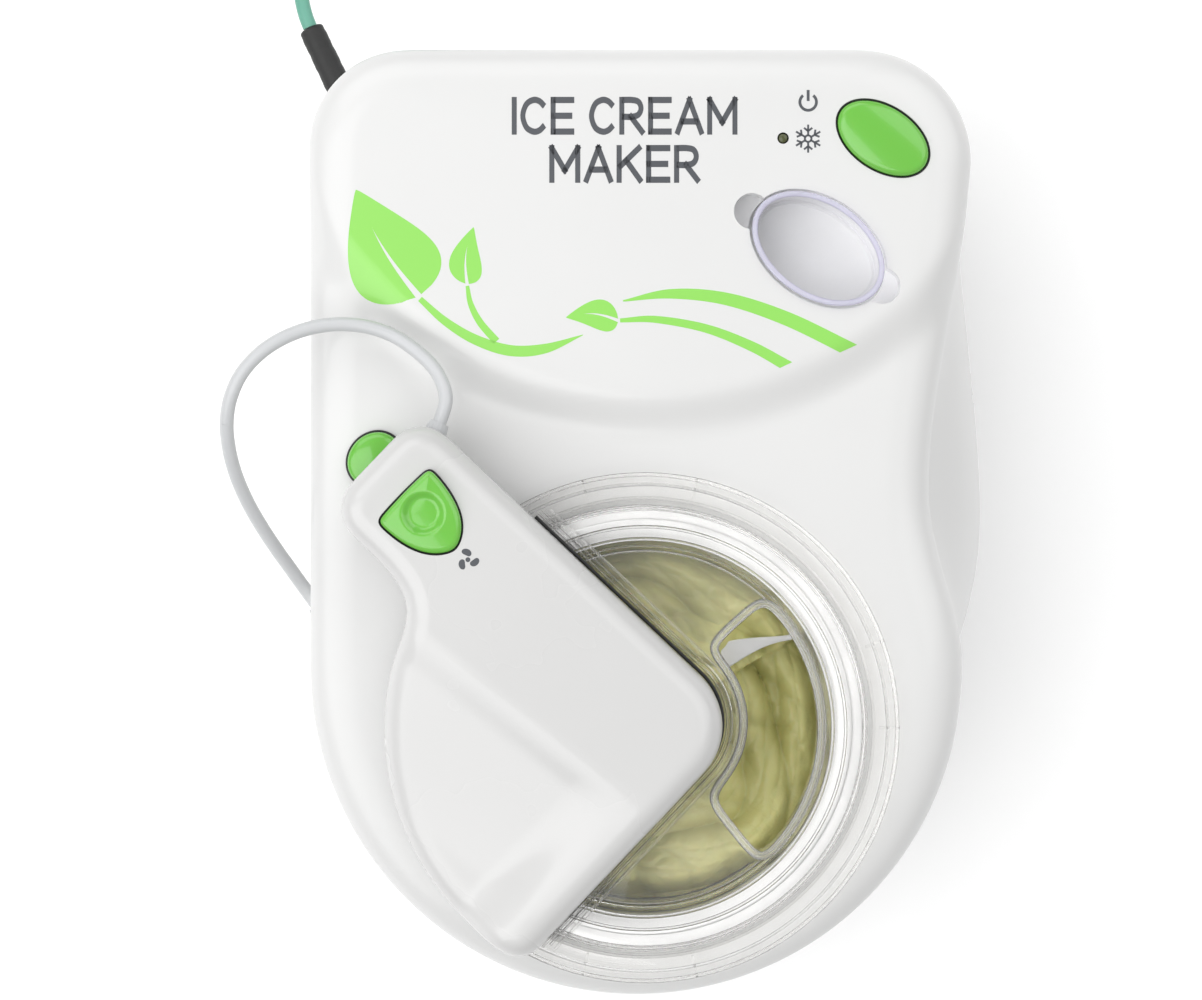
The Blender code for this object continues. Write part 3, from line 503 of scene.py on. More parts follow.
boardFinish = finish(
    "boardFinish",
    (0.008, 0.13, 0.045),
    (0.02, 0.22, 0.08),
    moulded,
    {"Grain": 260.0, "Depth": 0.3, "Roughness": 0.3, "Drift": 0.2},
)


def clearFinish(name, dark, light, edge, through=0.97):
    # refracting plastic whose colour greys where it is seen edge on, painted shade standing in for the dark
    # lines at its walls; its shadows let light through unbent
    values = {"Grain": 60.0, "Depth": 0.004, "Roughness": 0.02, "Drift": 0.02}
    mat = finish(name, dark, light, moulded, values, {"Transmission Weight": through, "IOR": 1.47})
    nodes, links = mat.node_tree.nodes, mat.node_tree.links
    shader = nodes["Principled BSDF"]
    base = shader.inputs["Base Color"].links[0].from_socket
    # painted shade: the colour is mixed towards the edge colour where the surface is seen edge on
    facing = nodes.new("ShaderNodeLayerWeight")
    facing.inputs["Blend"].default_value = 0.42
    edgeShade = nodes.new("ShaderNodeMix")
    edgeShade.data_type = "RGBA"
    edgeShade.inputs["B"].default_value = (*edge, 1)
    links.new(facing.outputs["Facing"], edgeShade.inputs["Factor"])
    links.new(base, edgeShade.inputs["A"])
    links.new(edgeShade.outputs["Result"], shader.inputs["Base Color"])
    passing = nodes.new("ShaderNodeBsdfTransparent")
    passing.inputs["Color"].default_value = (*light, 1)
    rays = nodes.new("ShaderNodeLightPath")
    mix = nodes.new("ShaderNodeMixShader")
    links.new(rays.outputs["Is Shadow Ray"], mix.inputs["Fac"])
    links.new(shader.outputs["BSDF"], mix.inputs[1])
    links.new(passing.outputs["BSDF"], mix.inputs[2])
    links.new(mix.outputs["Shader"], nodes["Material Output"].inputs["Surface"])
    return mat


# the third colour of each is its painted shade where it is seen edge on
clearPlastic = clearFinish("clearPlastic", (0.965, 0.963, 0.958), (0.982, 0.98, 0.976), (0.34, 0.34, 0.335))
# painted shade: a greyer copy of the clear plastic for the port's rim, standing in for the grey band that
# its rounded wall shows
shadedClearRim = clearFinish("shadedClearRim", (0.80, 0.80, 0.795), (0.85, 0.85, 0.845), (0.22, 0.22, 0.22), 0.9)
cupClear = clearFinish("cupClear", (0.965, 0.965, 0.968), (0.985, 0.985, 0.988), (0.86, 0.86, 0.89), 0.72)
cupRim = clearFinish("cupRim", (0.66, 0.65, 0.75), (0.72, 0.71, 0.80), (0.46, 0.45, 0.56), 0.55)


def iceCreamFinish():
    # churned cream: broad and fine bumps, and painted shade that darkens the colour lower down in the folds
    mat = finish(
        "iceCream",
        (0.46, 0.45, 0.15),
        (0.74, 0.71, 0.33),
        moulded,
        {"Grain": 330.0, "Depth": 1.0, "Roughness": 0.38, "Drift": 0.3},
        {"Subsurface Weight": 0.15, "Subsurface Scale": 0.003},
    )
    nodes, links = mat.node_tree.nodes, mat.node_tree.links
    shader = nodes["Principled BSDF"]
    base = shader.inputs["Base Color"].links[0].from_socket
    where = nodes.new("ShaderNodeTexCoord")
    split = nodes.new("ShaderNodeSeparateXYZ")
    links.new(where.outputs["Object"], split.inputs["Vector"])
    # painted shade: darker towards the lowest cream, in the bottoms of the folds
    depth = nodes.new("ShaderNodeMapRange")
    depth.inputs["From Min"].default_value = 0.1585
    depth.inputs["From Max"].default_value = 0.1705
    links.new(split.outputs["Z"], depth.inputs["Value"])
    mix = nodes.new("ShaderNodeMix")
    mix.data_type = "RGBA"
    links.new(depth.outputs["Result"], mix.inputs["Factor"])
    mix.inputs["A"].default_value = (0.30, 0.285, 0.085, 1)
    links.new(base, mix.inputs["B"])
    links.new(mix.outputs["Result"], shader.inputs["Base Color"])
    return mat


iceCream = iceCreamFinish()
print("materials made")


stage = {
    "centre": (-21.8, 9.2),
    "height": 1790.0,
    "lens": 119.8,
    "floor": (0.96, 0.96, 0.96),
    "dome": ((0.0, 0.30), (0.25, 0.55), (0.7, 0.85), (1.0, 0.62)),  # brightness by height above the horizon
    "domeStrength": 0.74,
    "floorGlow": 0.1,
    "key": ((-0.95, -0.35, 1.6), (1.9, 1.9), 24.0),
    "fill": ((1.2, 0.9, 1.5), (1.8, 1.8), 14.0),
    "back": ((-0.7, 1.6, 1.4), (2.0, 1.2), 11.0),
}


def areaLight(name, place, aim, size, power):
    # a rectangular soft light that looks from its place at its aim
    light = bpy.data.lights.new(name, "AREA")
    light.shape = "RECTANGLE"
    light.size, light.size_y = size
    light.energy = power
    obj = bpy.data.objects.new(name, light)
    obj.location = place
    direction = np.array(aim) - np.array(place)
    obj.rotation_euler = (
        math.atan2(math.hypot(direction[0], direction[1]), -direction[2]),
        0,
        math.atan2(direction[1], direction[0]) - math.pi / 2,
    )
    bpy.context.scene.collection.objects.link(obj)


def buildStage():
    camera = bpy.data.cameras.new("camera")
    camera.lens = stage["lens"]
    camera.sensor_width = 36
    camera.clip_end = 20
    obj = bpy.data.objects.new("camera", camera)
    obj.location = (stage["centre"][0] * mm, stage["centre"][1] * mm, stage["height"] * mm)
    bpy.context.scene.collection.objects.link(obj)
    bpy.context.scene.camera = obj
    bpy.context.scene.view_settings.view_transform = "Standard"

    world = bpy.data.worlds.new("studio")
    world.use_nodes = True
    nodes, links = world.node_tree.nodes, world.node_tree.links
    where = nodes.new("ShaderNodeTexCoord")
    split = nodes.new("ShaderNodeSeparateXYZ")
    ramp = nodes.new("ShaderNodeValToRGB")
    links.new(where.outputs["Generated"], split.inputs["Vector"])
    links.new(split.outputs["Z"], ramp.inputs["Fac"])
    stops = ramp.color_ramp.elements
    while len(stops) < len(stage["dome"]):
        stops.new(0.5)
    for stop, (height, level) in zip(stops, stage["dome"]):
        stop.position = height
        stop.color = (level, level, level, 1)
    links.new(ramp.outputs["Color"], nodes["Background"].inputs["Color"])
    nodes["Background"].inputs["Strength"].default_value = stage["domeStrength"]
    bpy.context.scene.world = world
    for name in ("key", "fill", "back"):
        place, size, power = stage[name]
        areaLight(name, place, (-0.02, 0, 0.2), size, power)

    corners = [(-4000, -4000, 0), (4000, -4000, 0), (4000, 4000, 0), (-4000, 4000, 0)]
    floor = makeMesh("floor", corners, [(0, 1, 2, 3)], closed=False)
    mat = bpy.data.materials.new("floorFinish")
    mat.use_nodes = True
    shader = mat.node_tree.nodes["Principled BSDF"]
    shader.inputs["Base Color"].default_value = (*stage["floor"], 1)
    shader.inputs["Roughness"].default_value = 0.9
    shader.inputs["Emission Color"].default_value = (1, 1, 1, 1)
    shader.inputs["Emission Strength"].default_value = stage["floorGlow"]
    floor.data.materials.append(mat)


buildStage()
print("stage set")


mainsLead = {
    "diameter": 6.4,
    "exit": (-149.6, 216.9, 30.0),
    "coilCentre": (-141.5, 306.5),
    "coilRadii": (44.4, 38.0, 31.6),
    "layers": (3.4, 9.9),
    "coilStart": 200.0,
    "coilTurns": 5.3056,
    "route": [
        (-149.8, 217.2, 30.0),
        (-151.8, 222.4, 30.0),
        (-153.2, 228.0, 29.3),
        (-154.3, 233.6, 27.1),
        (-155.6, 239.0, 22.8),
        (-157.0, 243.8, 16.8),
        (-158.9, 248.6, 10.5),
        (-162.0, 253.6, 6.2),
        (-166.4, 258.4, 4.0),
        (-171.2, 263.0, 3.4),
        (-175.4, 268.2, 3.4),
    ],
}
motorLead = {
    "diameter": 5.6,
    "route": [
        (-139.9, -33.8, 132.0),
        (-142.6, -30.2, 132.0),
        (-146.2, -25.0, 134.4),
        (-150.4, -18.4, 140.2),
        (-155.2, -10.6, 149.0),
        (-160.6, -1.0, 159.0),
        (-165.4, 9.2, 169.5),
        (-168.9, 19.6, 179.5),
        (-170.8, 30.0, 188.5),
        (-171.0, 40.4, 195.5),
        (-168.8, 50.6, 200.2),
        (-163.6, 60.6, 202.6),
        (-154.6, 69.4, 203.2),
        (-142.6, 75.8, 202.4),
        (-129.6, 78.8, 201.0),
        (-116.6, 78.4, 200.0),
        (-105.0, 74.8, 200.0),
        (-95.4, 68.6, 202.0),
        (-88.0, 61.4, 205.2),
        (-84.0, 54.0, 208.4),
        (-83.2, 47.6, 210.4),
        (-85.4, 40.1, 211.0),
    ],
    "splits": (9, 14),
}


def buildMainsLead():
    # the route, then a coil whose radius and height step from turn to turn, then a straight run to the plug
    s = mainsLead
    turns = np.linspace(0, s["coilTurns"], 360)
    a = np.radians(s["coilStart"] - 360 * turns)
    big, middle, small = s["coilRadii"]
    low, high = s["layers"]
    steps = [(1, middle - big), (2, small - middle), (4, middle - small), (5, big - middle)]
    radius = big + sum(change * smoothStep((turns - at) / 0.22 + 0.5) for at, change in steps)
    height = low + (high - low) * smoothStep((turns - 3) / 0.25 + 0.5)
    cx, cy = s["coilCentre"]
    coil = np.stack([cx + radius * np.cos(a), cy + radius * np.sin(a), height], axis=1)
    plugBack = boxOf("mains_plug")[0][0]
    last = coil[-1]
    row = last[1]
    run = np.array([(cx + 12.0, row, 10.6), (plugBack + 0.6, row, 13.0), (plugBack + 9, row, 13.2)])
    ends = throughPoints(s["route"], 6)
    path = np.vstack([ends[:-3], coil[2:], run])
    path = evenly(throughPoints(evenly(path, 300, False), 2), 620, False)
    lead = sweptMesh("mainsLead", path, s["diameter"] / 2, 16)
    piece(lead, "housing", tealLead, ["mains_cord", "mains_cord_coil"])
    long = float(np.linalg.norm(np.diff(path, axis=0), axis=1).sum()) * mm
    print("mains lead", round(long, 3), "m")
    return lead, path, long


def buildStrainRelief():
    # a thick sleeve: a gentle taper with a collar inside the wall, slightly uneven along its length
    start, end = np.array([-125.0, 165.8, 30.0]), np.array(mainsLead["exit"])
    t = np.linspace(0, 1, 150)
    radius = np.where(t < 0.12, 7.3, 6.0 - 0.55 * t)
    radius = radius + (0.08 * np.sin(t * 37) + 0.05 * np.sin(t * 83 + 1)) * (t > 0.3)
    radius[-4:] = radius[-4:] - np.array([0.08, 0.3, 0.7, 1.5])
    path = start + (end - start) * t[:, None]
    sleeve = sweptMesh("strainRelief", path, radius, 32, sharp=50)
    return piece(sleeve, "housing", rubber, ["mains_strain_relief"])


def buildPlug():
    # a moulded two-pin plug: a turned taper flattened into an oval, with finger grooves
    low, high = boxOf("mains_plug")
    y, z = (low[1] + high[1]) / 2, (low[2] + high[2]) / 2
    knots = [(0, 3.9), (6, 4.6), (12, 7.6), (20, 12.0), (28, 12.7), (44, 12.7), (51, 12.2), (52, 11.2)]
    line = evenly(throughPoints(knots, 8), 90, False)
    grooves = 0.5 * (np.sin(line[:, 0] * 2 * np.pi / 3.2) > 0.3) * (line[:, 0] > 26) * (line[:, 0] < 45)
    a = np.linspace(0, 2 * np.pi, 48, endpoint=False)
    r = (line[:, 1] - grooves)[:, None]
    rings = np.empty((len(line), 48, 3))
    rings[:, :, 0] = low[0] + line[:, :1]
    rings[:, :, 1] = y + r * np.cos(a)
    rings[:, :, 2] = z + r * np.sin(a) * (1 - 0.22 * smoothStep((line[:, :1] - 6) / 14))
    plug = ringMesh("plugBody", rings, sharp=50)
    piece(plug, "housing", rubber, ["mains_plug"])
    pins = []
    for side in (-1, 1):
        path = np.array([(low[0] + x, y + 9.5 * side, z) for x in np.linspace(50, 64.6, 24)])
        radius = np.full(24, 2.3)
        radius[-5:] = 2.3 - np.array([0.05, 0.2, 0.45, 0.85, 1.4])
        pin = sweptMesh("plugPin" + ("Left" if side < 0 else "Right"), path, radius, 20)
        pins.append(piece(pin, "housing", steel))
    return [plug] + pins


def buildMotorLead():
    # one smooth line cut into three lengths, each swept as a tube and left fixed where it lies
    s = motorLead
    per = 8
    line = throughPoints(s["route"], per)
    cuts = [0, s["splits"][0] * per, s["splits"][1] * per, len(line) - 1]
    pairs = [("housing", "bowl"), ("bowl", "lid"), ("lid", "motor_unit")]
    names = ("motorLeadLow", "motorLeadMiddle", "motorLeadHigh")
    for k, (name, pair) in enumerate(zip(names, pairs)):
        part = line[cuts[k] : cuts[k + 1] + 1]
        if k == 2:
            onward = part[-1] - part[-2]
            part = np.vstack([part, part[-1] + onward / np.linalg.norm(onward) * 2])
        lead = sweptMesh(name, part, s["diameter"] / 2, 20, sharp=80)
        lead.data.materials.append(whiteLead)
        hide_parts("motor_cable")
        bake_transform(lead)


leadPiece, leadPath, _ = buildMainsLead()
sleevePiece = buildStrainRelief()
plugPieces = buildPlug()
buildMotorLead()
print("leads laid")


body = {
    "frontRadius": 131.5,
    "rearLeftRadius": 39.0,
    "rearRightRadius": 45.0,
    "rearRightX": 127.0,
    "around": 360,
    "waist": [(121.5, -38), (115.2, -16), (110.6, 8), (111.8, 38), (117.2, 74), (123.4, 112)],
    "bulge": [(133.5, -38), (138.0, -16), (139.0, 8), (137.4, 38), (134.0, 74), (129.8, 112)],
}


def bodyOutline(belly=0.0, inset=0.0, count=None):
    # round front, straight left side, rear corners, and a right side that blends from waist to bulge
    s = body
    left, rear, front = housingLow[0], round(housingHigh[1]), round(housingLow[1])
    r = s["frontRadius"]
    fx, fy = left + r, front + r
    side = np.array(s["waist"]) * (1 - belly) + np.array(s["bulge"]) * belly
    rr, rl = s["rearRightRadius"], s["rearLeftRadius"]
    nose = arcPoints(fx, fy, r, 180, 348, 120)
    widest, last = [fx + r + 3 * belly, fy], [s["rearRightX"], rear - rr]
    flank = throughPoints(np.vstack([nose[-6], nose[-1], widest, side, last]), 14)
    parts = [
        nose,
        flank[15:-1],
        arcPoints(s["rearRightX"] - rr, rear - rr, rr, 0, 90, 40),
        arcPoints(left + rl, rear - rl, rl, 90, 180, 40),
    ]
    loop = evenly(np.vstack(parts), count or s["around"])
    for _ in range(3):  # a light smoothing takes the corners out of where the stretches meet
        loop = (np.roll(loop, 1, axis=0) + 2 * loop + np.roll(loop, -1, axis=0)) / 4
    return insetLoop(loop, inset)


deck = {
    "valley": 189.0,
    "rise": 5.6,
    "edgeCentre": (-2.0, 201.0),
    "edgeRadius": 168.0,
    "edgeWidth": 20.0,
    "rim": 12.0,
    "rimWide": 19.0,
    "opening": 88.5,
}


def deckHeight(x, y):
    # a front part that falls a little outwards, and a rear part raised behind an arc, slightly crowned
    s = deck
    reach = np.hypot(x - s["edgeCentre"][0], y - s["edgeCentre"][1])
    raised = smoothStep((s["edgeRadius"] - reach) / s["edgeWidth"])
    crown = 0.5 * np.clip(1 - (np.asarray(x) / 125.0) ** 2, -0.5, 1)
    fall = 1.5 * smoothStep((np.hypot(x - axis[0], y - axis[1]) - 100) / 34)
    return s["valley"] - fall * (1 - raised) + raised * (s["rise"] + crown)


def ovalLoop(centre, axes, tilt, count=96, grow=0.0):
    # an ellipse: half axes times (cosine, sine), turned by the tilt about its centre
    a = np.linspace(0, 2 * np.pi, count, endpoint=False)
    x, y = (axes[0] + grow) * np.cos(a), (axes[1] + grow) * np.sin(a)
    turnedX = centre[0] + x * math.cos(tilt) - y * math.sin(tilt)
    turnedY = centre[1] + x * math.sin(tilt) + y * math.cos(tilt)
    return np.stack([turnedX, turnedY], axis=1)


def prismMesh(name, loop, low, high):
    # a loop carried straight up between two heights
    return ringMesh(name, [lifted(loop, low), lifted(loop, high)], caps=("flat", "flat"))


unit = {
    "angle": math.radians(43.3),
    "edge": -30.8,
    "lobeEdge": 27.4,
    "lobe": 102.3,
    "corner": 26.0,
    "tailU": -150.3,
    "tailRadius": 14.0,
    "lobeCorner": 11.0,
}


def unitPoint(u, v):
    # u along the bar from the tail, v square to it, both from the drive axis
    c, s = math.cos(unit["angle"]), math.sin(unit["angle"])
    return np.stack([axis[0] + u * c - v * s, axis[1] - u * s - v * c], axis=-1)


powerButton = {"axes": (20.0, 12.4), "tilt": math.radians(-33)}
releaseButton = {"place": (-152.0, -4.0), "axes": (11.5, 10.0)}
cup = {
    "place": (64.8, 109.4),
    "axes": (29.0, 19.6),
    "tilt": math.radians(-34),
    "floor": 168.0,
    "notches": ((38.4, 124.4), (90.4, 94.6)),
    "notchRadius": 7.2,
}
powerPlace = (boxOf("power_button")[0][:2] + boxOf("power_button")[1][:2]) / 2
ledPlace = (boxOf("cooling_led")[0][:2] + boxOf("cooling_led")[1][:2]) / 2


def buildTopCover():
    # wall and rounded rim as rings inside the outline, then rings that blend to the bowl opening
    s = deck
    outline = bodyOutline()
    rings = []
    for inset, z in ((1.6, 150.3), (0.4, 151.4), (0.0, 153.5), (0.0, 165.0)):
        rings.append(lifted(insetLoop(outline, inset), z))
    for angle in np.radians(np.linspace(0, 90, 16)):
        loop = insetLoop(outline, s["rimWide"] * (1 - math.cos(angle)))
        rings.append(lifted(loop, deckHeight(loop[:, 0], loop[:, 1]) - s["rim"] * (1 - math.sin(angle))))
    start = insetLoop(outline, s["rimWide"])
    away = start - axis
    circle = axis + away / np.linalg.norm(away, axis=1)[:, None] * s["opening"]
    for t in np.linspace(0, 1, 56)[1:]:
        loop = start + (circle - start) * t
        z = deckHeight(loop[:, 0], loop[:, 1])
        rings.append(lifted(loop, z - 0.6 * smoothStep((t - 0.985) / 0.015)))
    rings.append(lifted(circle, 187.6))
    cover = ringMesh("topCover", rings, caps=(False, False))
    cover = walled(outward(cover), 2.3)
    tilt = -unit["angle"] - math.pi / 2
    slot = unitPoint(np.array([-138.6, -129.4, -129.4, -138.6]), np.array([-11.0, -11.0, 3.0, 3.0]))
    powerHole = ovalLoop(powerPlace, powerButton["axes"], powerButton["tilt"], 72, 0.9)
    releaseHole = ovalLoop(unitPoint(*releaseButton["place"]), releaseButton["axes"], tilt, 60, 0.9)
    cutters = [
        prismMesh("cutPower", powerHole, 175, 205),
        prismMesh("cutRelease", releaseHole, 175, 205),
        prismMesh("cutCup", ovalLoop(cup["place"], cup["axes"], cup["tilt"], 84, 1.0), 175, 205),
        prismMesh("cutNotchA", ovalLoop(cup["notches"][0], (7.2, 7.2), 0, 48), 175, 205),
        prismMesh("cutNotchB", ovalLoop(cup["notches"][1], (7.2, 7.2), 0, 48), 175, 205),
        prismMesh("cutLed", ovalLoop(ledPlace, (2.3, 2.3), 0, 32), 175, 205),
        prismMesh("cutLatch", slot, 175, 205),
    ]
    combine(cover, cutters, "DIFFERENCE")
    return piece(cover, "housing", whitePlastic, ["top_cover"])


def buildCupPocket():
    # an oval well under the deck with two shallow finger notches, as one closed tray
    place, axes, tilt, wide = cup["place"], cup["axes"], cup["tilt"], cup["notchRadius"]
    outer = prismMesh("cupPocket", ovalLoop(place, axes, tilt, 84, 2.6), cup["floor"] - 2.6, 191.0)
    others = []
    for i, notch in enumerate(cup["notches"]):
        loop = ovalLoop(notch, (wide + 1.8, wide + 1.8), 0, 48)
        others.append(prismMesh("notchWall%d" % i, loop, 178.4, 191.0))
    combine(outer, others, "UNION")
    inner = [prismMesh("pocketSpace", ovalLoop(place, axes, tilt, 84, 1.0), cup["floor"] - 1.0, 205)]
    for i, notch in enumerate(cup["notches"]):
        inner.append(prismMesh("notchSpace%d" % i, ovalLoop(notch, (wide, wide), 0, 48), 181, 205))
    combine(outer, inner, "DIFFERENCE")
    return piece(outer, "housing", litPocketWhite)


lower = {
    "levels": [16.3, 19.0, 30.0, 58.0, 92.0, 116.0, 136.0, 150.0],
    "insets": [9.0, 6.6, 3.2, 0.6, 0.0, 0.4, 0.9, 1.2],
    "bellies": [0.75, 0.8, 0.9, 1.0, 1.0, 0.74, 0.3, 0.0],
    "vents": 14,
    "ventWidth": 3.4,
}


def slotMesh(name, centre, along, across, half, low, high, depth):
    # an upright slot with round ends, pushed along one direction through the wall
    a = np.linspace(0, 2 * np.pi, 24, endpoint=False)
    w = half * np.cos(a)
    h = half * np.sin(a) + np.where(np.sin(a) >= 0, high - half, low + half)
    rings = []
    for d in (-depth, depth):
        x = centre[0] + across[0] * w + along[0] * d
        y = centre[1] + across[1] * w + along[1] * d
        rings.append(np.stack([x, y, h], axis=1))
    return ringMesh(name, rings)


def buildLowerHousing():
    # rings up the wall, with inset and belly read from smooth curves through a few levels
    s = lower
    line = throughPoints(np.stack([s["levels"], s["insets"], s["bellies"]], axis=1), 6)
    rings = []
    for z, inset, belly in line:
        rings.append(lifted(bodyOutline(float(np.clip(belly, 0, 1)), inset), z))
    shell = walled(outward(ringMesh("lowerHousing", rings, caps=(False, False))), 2.3)
    slots = []
    for i in range(s["vents"]):
        y = 52.0 + i * 6.2
        slots.append(slotMesh(f"ventLeft{i}", (-137, y), (1, 0), (0, 1), s["ventWidth"] / 2, 38, 98, 12))
        slots.append(slotMesh(f"ventRight{i}", (132, y), (1, 0), (0, 1), s["ventWidth"] / 2, 38, 98, 16))
        x = -58 + i * 8.4
        slots.append(slotMesh(f"ventRear{i}", (x, 188), (0, 1), (1, 0), s["ventWidth"] / 2, 44, 104, 10))
    heading = np.array([-0.433, 0.901])
    start = np.array([-125.0, 165.8])
    path = [(*(start + heading * d), 30.0) for d in (2.0, 34.0)]
    slots.append(sweptMesh("inletHole", path, 8.0, 32))
    path = [(-126, -52, 132), (-146, -25.5, 132)]
    slots.append(sweptMesh("glandHole", path, 5.3, 32))
    combine(shell, slots, "DIFFERENCE")
    return piece(shell, "housing", whitePlastic, ["lower_housing"])


def buildBase():
    # a shallow tray whose outline is the body's with a set inset at each height
    loops = [(13.0, 8.0), (10.4, 8.6), (9.4, 10.2), (9.4, 16.0), (12.4, 16.0), (12.4, 11.5)]
    rings = [lifted(bodyOutline(0.78, inset), z) for inset, z in loops]
    tray = ringMesh("baseTray", rings)
    piece(tray, "housing", greyPlastic, ["base_tray"])
    for node in ("foot_front_left", "foot_front_right", "foot_rear_left", "foot_rear_right"):
        low, high = boxOf(node)
        profile = roundedProfile([(4.0, 0.5), (8.6, 0.0), (9.9, 1.2), (9.5, 7.7), (4.0, 7.7)], 0.8)
        profile[:, 1] = np.maximum(profile[:, 1], 0)
        foot = turnedMesh(node.replace("foot_", "pad_"), profile, 40, centre=(low[:2] + high[:2]) / 2)
        piece(foot, "housing", rubber, [node])


buildTopCover()
print("top cover made")
buildCupPocket()
buildLowerHousing()
buildBase()
print("body made")


def domedButton(loopAt, levels, dome, count=12):
    # rings up the skirt, over a rounded edge, then shrinking to the middle under a shallow dome
    rings = [lifted(loopAt(inset), z) for inset, z in levels]
    inset, z = levels[-1]
    edge = loopAt(inset)
    middle = edge.mean(axis=0)
    for t in np.linspace(0, 1, count + 1)[1:-1]:
        loop = edge + (middle - edge) * t
        rings.append(lifted(loop, z + dome * (1 - (1 - t) ** 2)))
    return rings


def buildPowerButton():
    loopAt = lambda inset: ovalLoop(powerPlace, powerButton["axes"], powerButton["tilt"], 96, -inset)
    levels = [(5.0, 184.2), (0.2, 185.6), (0.0, 186.4), (0.0, 194.6)]
    levels += [(0.25, 195.6), (0.8, 196.3), (1.7, 196.8), (2.8, 197.0)]
    button = ringMesh("powerButton", domedButton(loopAt, levels, 1.1))
    piece(button, "power_button", greenPlastic, ["power_button"])
    edges = ((-0.85, 184.0), (-0.85, 193.6), (-0.3, 193.6), (-0.3, 184.0))
    ring = [lifted(loopAt(grow), z) for grow, z in edges]
    piece(ringMesh("powerGasket", ring, ringShaped=True), "housing", blackPlastic)


def buildReleaseButton():
    place = unitPoint(*releaseButton["place"])
    tilt = -unit["angle"] - math.pi / 2
    loopAt = lambda inset: ovalLoop(place, releaseButton["axes"], tilt, 80, -inset)
    levels = [(3.0, 182.2), (0.0, 183.4), (0.0, 190.4), (0.3, 191.6), (1.0, 192.4), (2.2, 192.9)]
    button = ringMesh("releaseButton", domedButton(loopAt, levels, 1.2))
    piece(button, "release_button", greenPlastic, ["release_button"])
    edges = ((-0.85, 182.0), (-0.85, 188.6), (-0.3, 188.6), (-0.3, 182.0))
    ring = [lifted(loopAt(grow), z) for grow, z in edges]
    piece(ringMesh("releaseGasket", ring, ringShaped=True), "housing", blackPlastic)


def buildCup():
    # a thin oval cup, and a ring rolled round its rim whose section is an ellipse of cosine and sine
    place, axes, tilt = cup["place"], cup["axes"], cup["tilt"]
    inside = [(3.6, 170.2), (2.3, 172.0), (1.7, 191.0), (1.3, 196.2), (0.9, 197.1), (0.3, 197.2)]
    outside = [(0.0, 196.6), (0.1, 195.4), (0.5, 194.8), (0.6, 191.0), (1.4, 171.0), (3.4, 168.4)]
    line = roundedProfile(inside + outside, 0.8, 3)
    rings = [lifted(ovalLoop(place, axes, tilt, 112, -inset), z) for inset, z in line]
    obj = ringMesh("measuringCup", rings)
    piece(obj, "measuring_cup", cupClear, ["measuring_cup"])
    rim = []
    for t in np.linspace(0, 2 * np.pi, 20, endpoint=False):
        loop = ovalLoop(place, axes, tilt, 112, -(1.15 + 1.15 * math.cos(t)))
        rim.append(lifted(loop, 196.8 + 0.9 * math.sin(t)))
    piece(ringMesh("cupRimRing", rim, ringShaped=True, sharp=80), "measuring_cup", cupRim)


def buildLed():
    profile = [(0.4, 176.0), (1.9, 176.0), (1.9, 194.2), (1.6, 194.9), (1.0, 195.2), (0.3, 195.3)]
    lens = turnedMesh("ledLens", profile, 32, centre=ledPlace)
    values = {"Roughness": 0.2, "Drift": 0.05, "Depth": 0.02, "Grain": 900.0}
    unlit = finish("ledLens", (0.05, 0.055, 0.02), (0.08, 0.09, 0.03), moulded, values)
    return piece(lens, "housing", unlit, ["cooling_led"])


buildPowerButton()
buildReleaseButton()
buildCup()
buildLed()
print("deck fittings made")


printLift = 0.06
printThick = 0.14


def printed(name, grids, material, height=deckHeight, body="housing"):
    # flat grids of points laid on a surface: the top just above it and the underside just in it
    points, quads, first = [], [], 0
    for grid in grids:
        grid = np.asarray(grid, float)
        rows, cols = grid.shape[:2]
        z = height(grid[..., 0], grid[..., 1]) + printLift
        points.append(np.concatenate([grid, z[..., None]], axis=-1).reshape(-1, 3))
        r, c = np.arange(rows - 1)[:, None] * cols, np.arange(cols - 1)[None, :]
        four = np.stack([r + c, r + c + 1, r + c + cols + 1, r + c + cols], axis=-1).reshape(-1, 4) + first
        a, b, d = points[-1][four[0] - first][[0, 1, 3]]
        quads.append(four if np.cross(b - a, d - a)[2] > 0 else four[:, ::-1])
        first += rows * cols
    obj = makeMesh(name, np.vstack(points), np.vstack(quads), closed=False)
    return piece(walled(obj, printThick), body, material)


def strip(points, widths, steps=10, across=4, skew=0.0):
    # a band whose half width follows a smooth curve through the given widths; the last end may be cut aslant
    line = throughPoints(np.column_stack([points, widths]), steps)
    centre, width = line[:, :2], np.clip(line[:, 2], 0.02, None)
    along = np.gradient(centre, axis=0)
    along /= np.linalg.norm(along, axis=1)[:, None]
    side = np.stack([-along[:, 1], along[:, 0]], axis=1)
    late = smoothStep((np.linspace(0, 1, len(line)) - 0.8) / 0.2)[:, None]
    offsets = np.linspace(-1, 1, across + 1)
    aside, onward = side * width[:, None], along * late * skew
    return np.stack([centre + aside * k + onward * k for k in offsets], axis=0)


def leaf(tip, base, width, bend, split):
    # an almond blade: half width is a sine pulled towards the base, with a bowed midrib and an open vein
    t = np.linspace(0, 1, 44)[None, :]
    tip, base = np.array(tip, float), np.array(base, float)
    along = tip - base
    size = np.linalg.norm(along)
    along /= size
    side = np.array([-along[1], along[0]])
    rib = bend * size * np.sin(np.pi * t)
    half = width * np.sin(np.pi * t**0.62) ** 0.85 * (1.12 - 0.3 * t)
    vein = split * np.clip(1 - t * 1.5, 0, 1)
    out = []
    for sign in (-1, 1):
        k = np.linspace(0, 1, 9)[:, None]
        offset = rib + sign * (vein + np.maximum(half - vein, 0.01) * k)
        out.append(base + along * (t * size)[..., None] + side * offset[..., None])
    return out


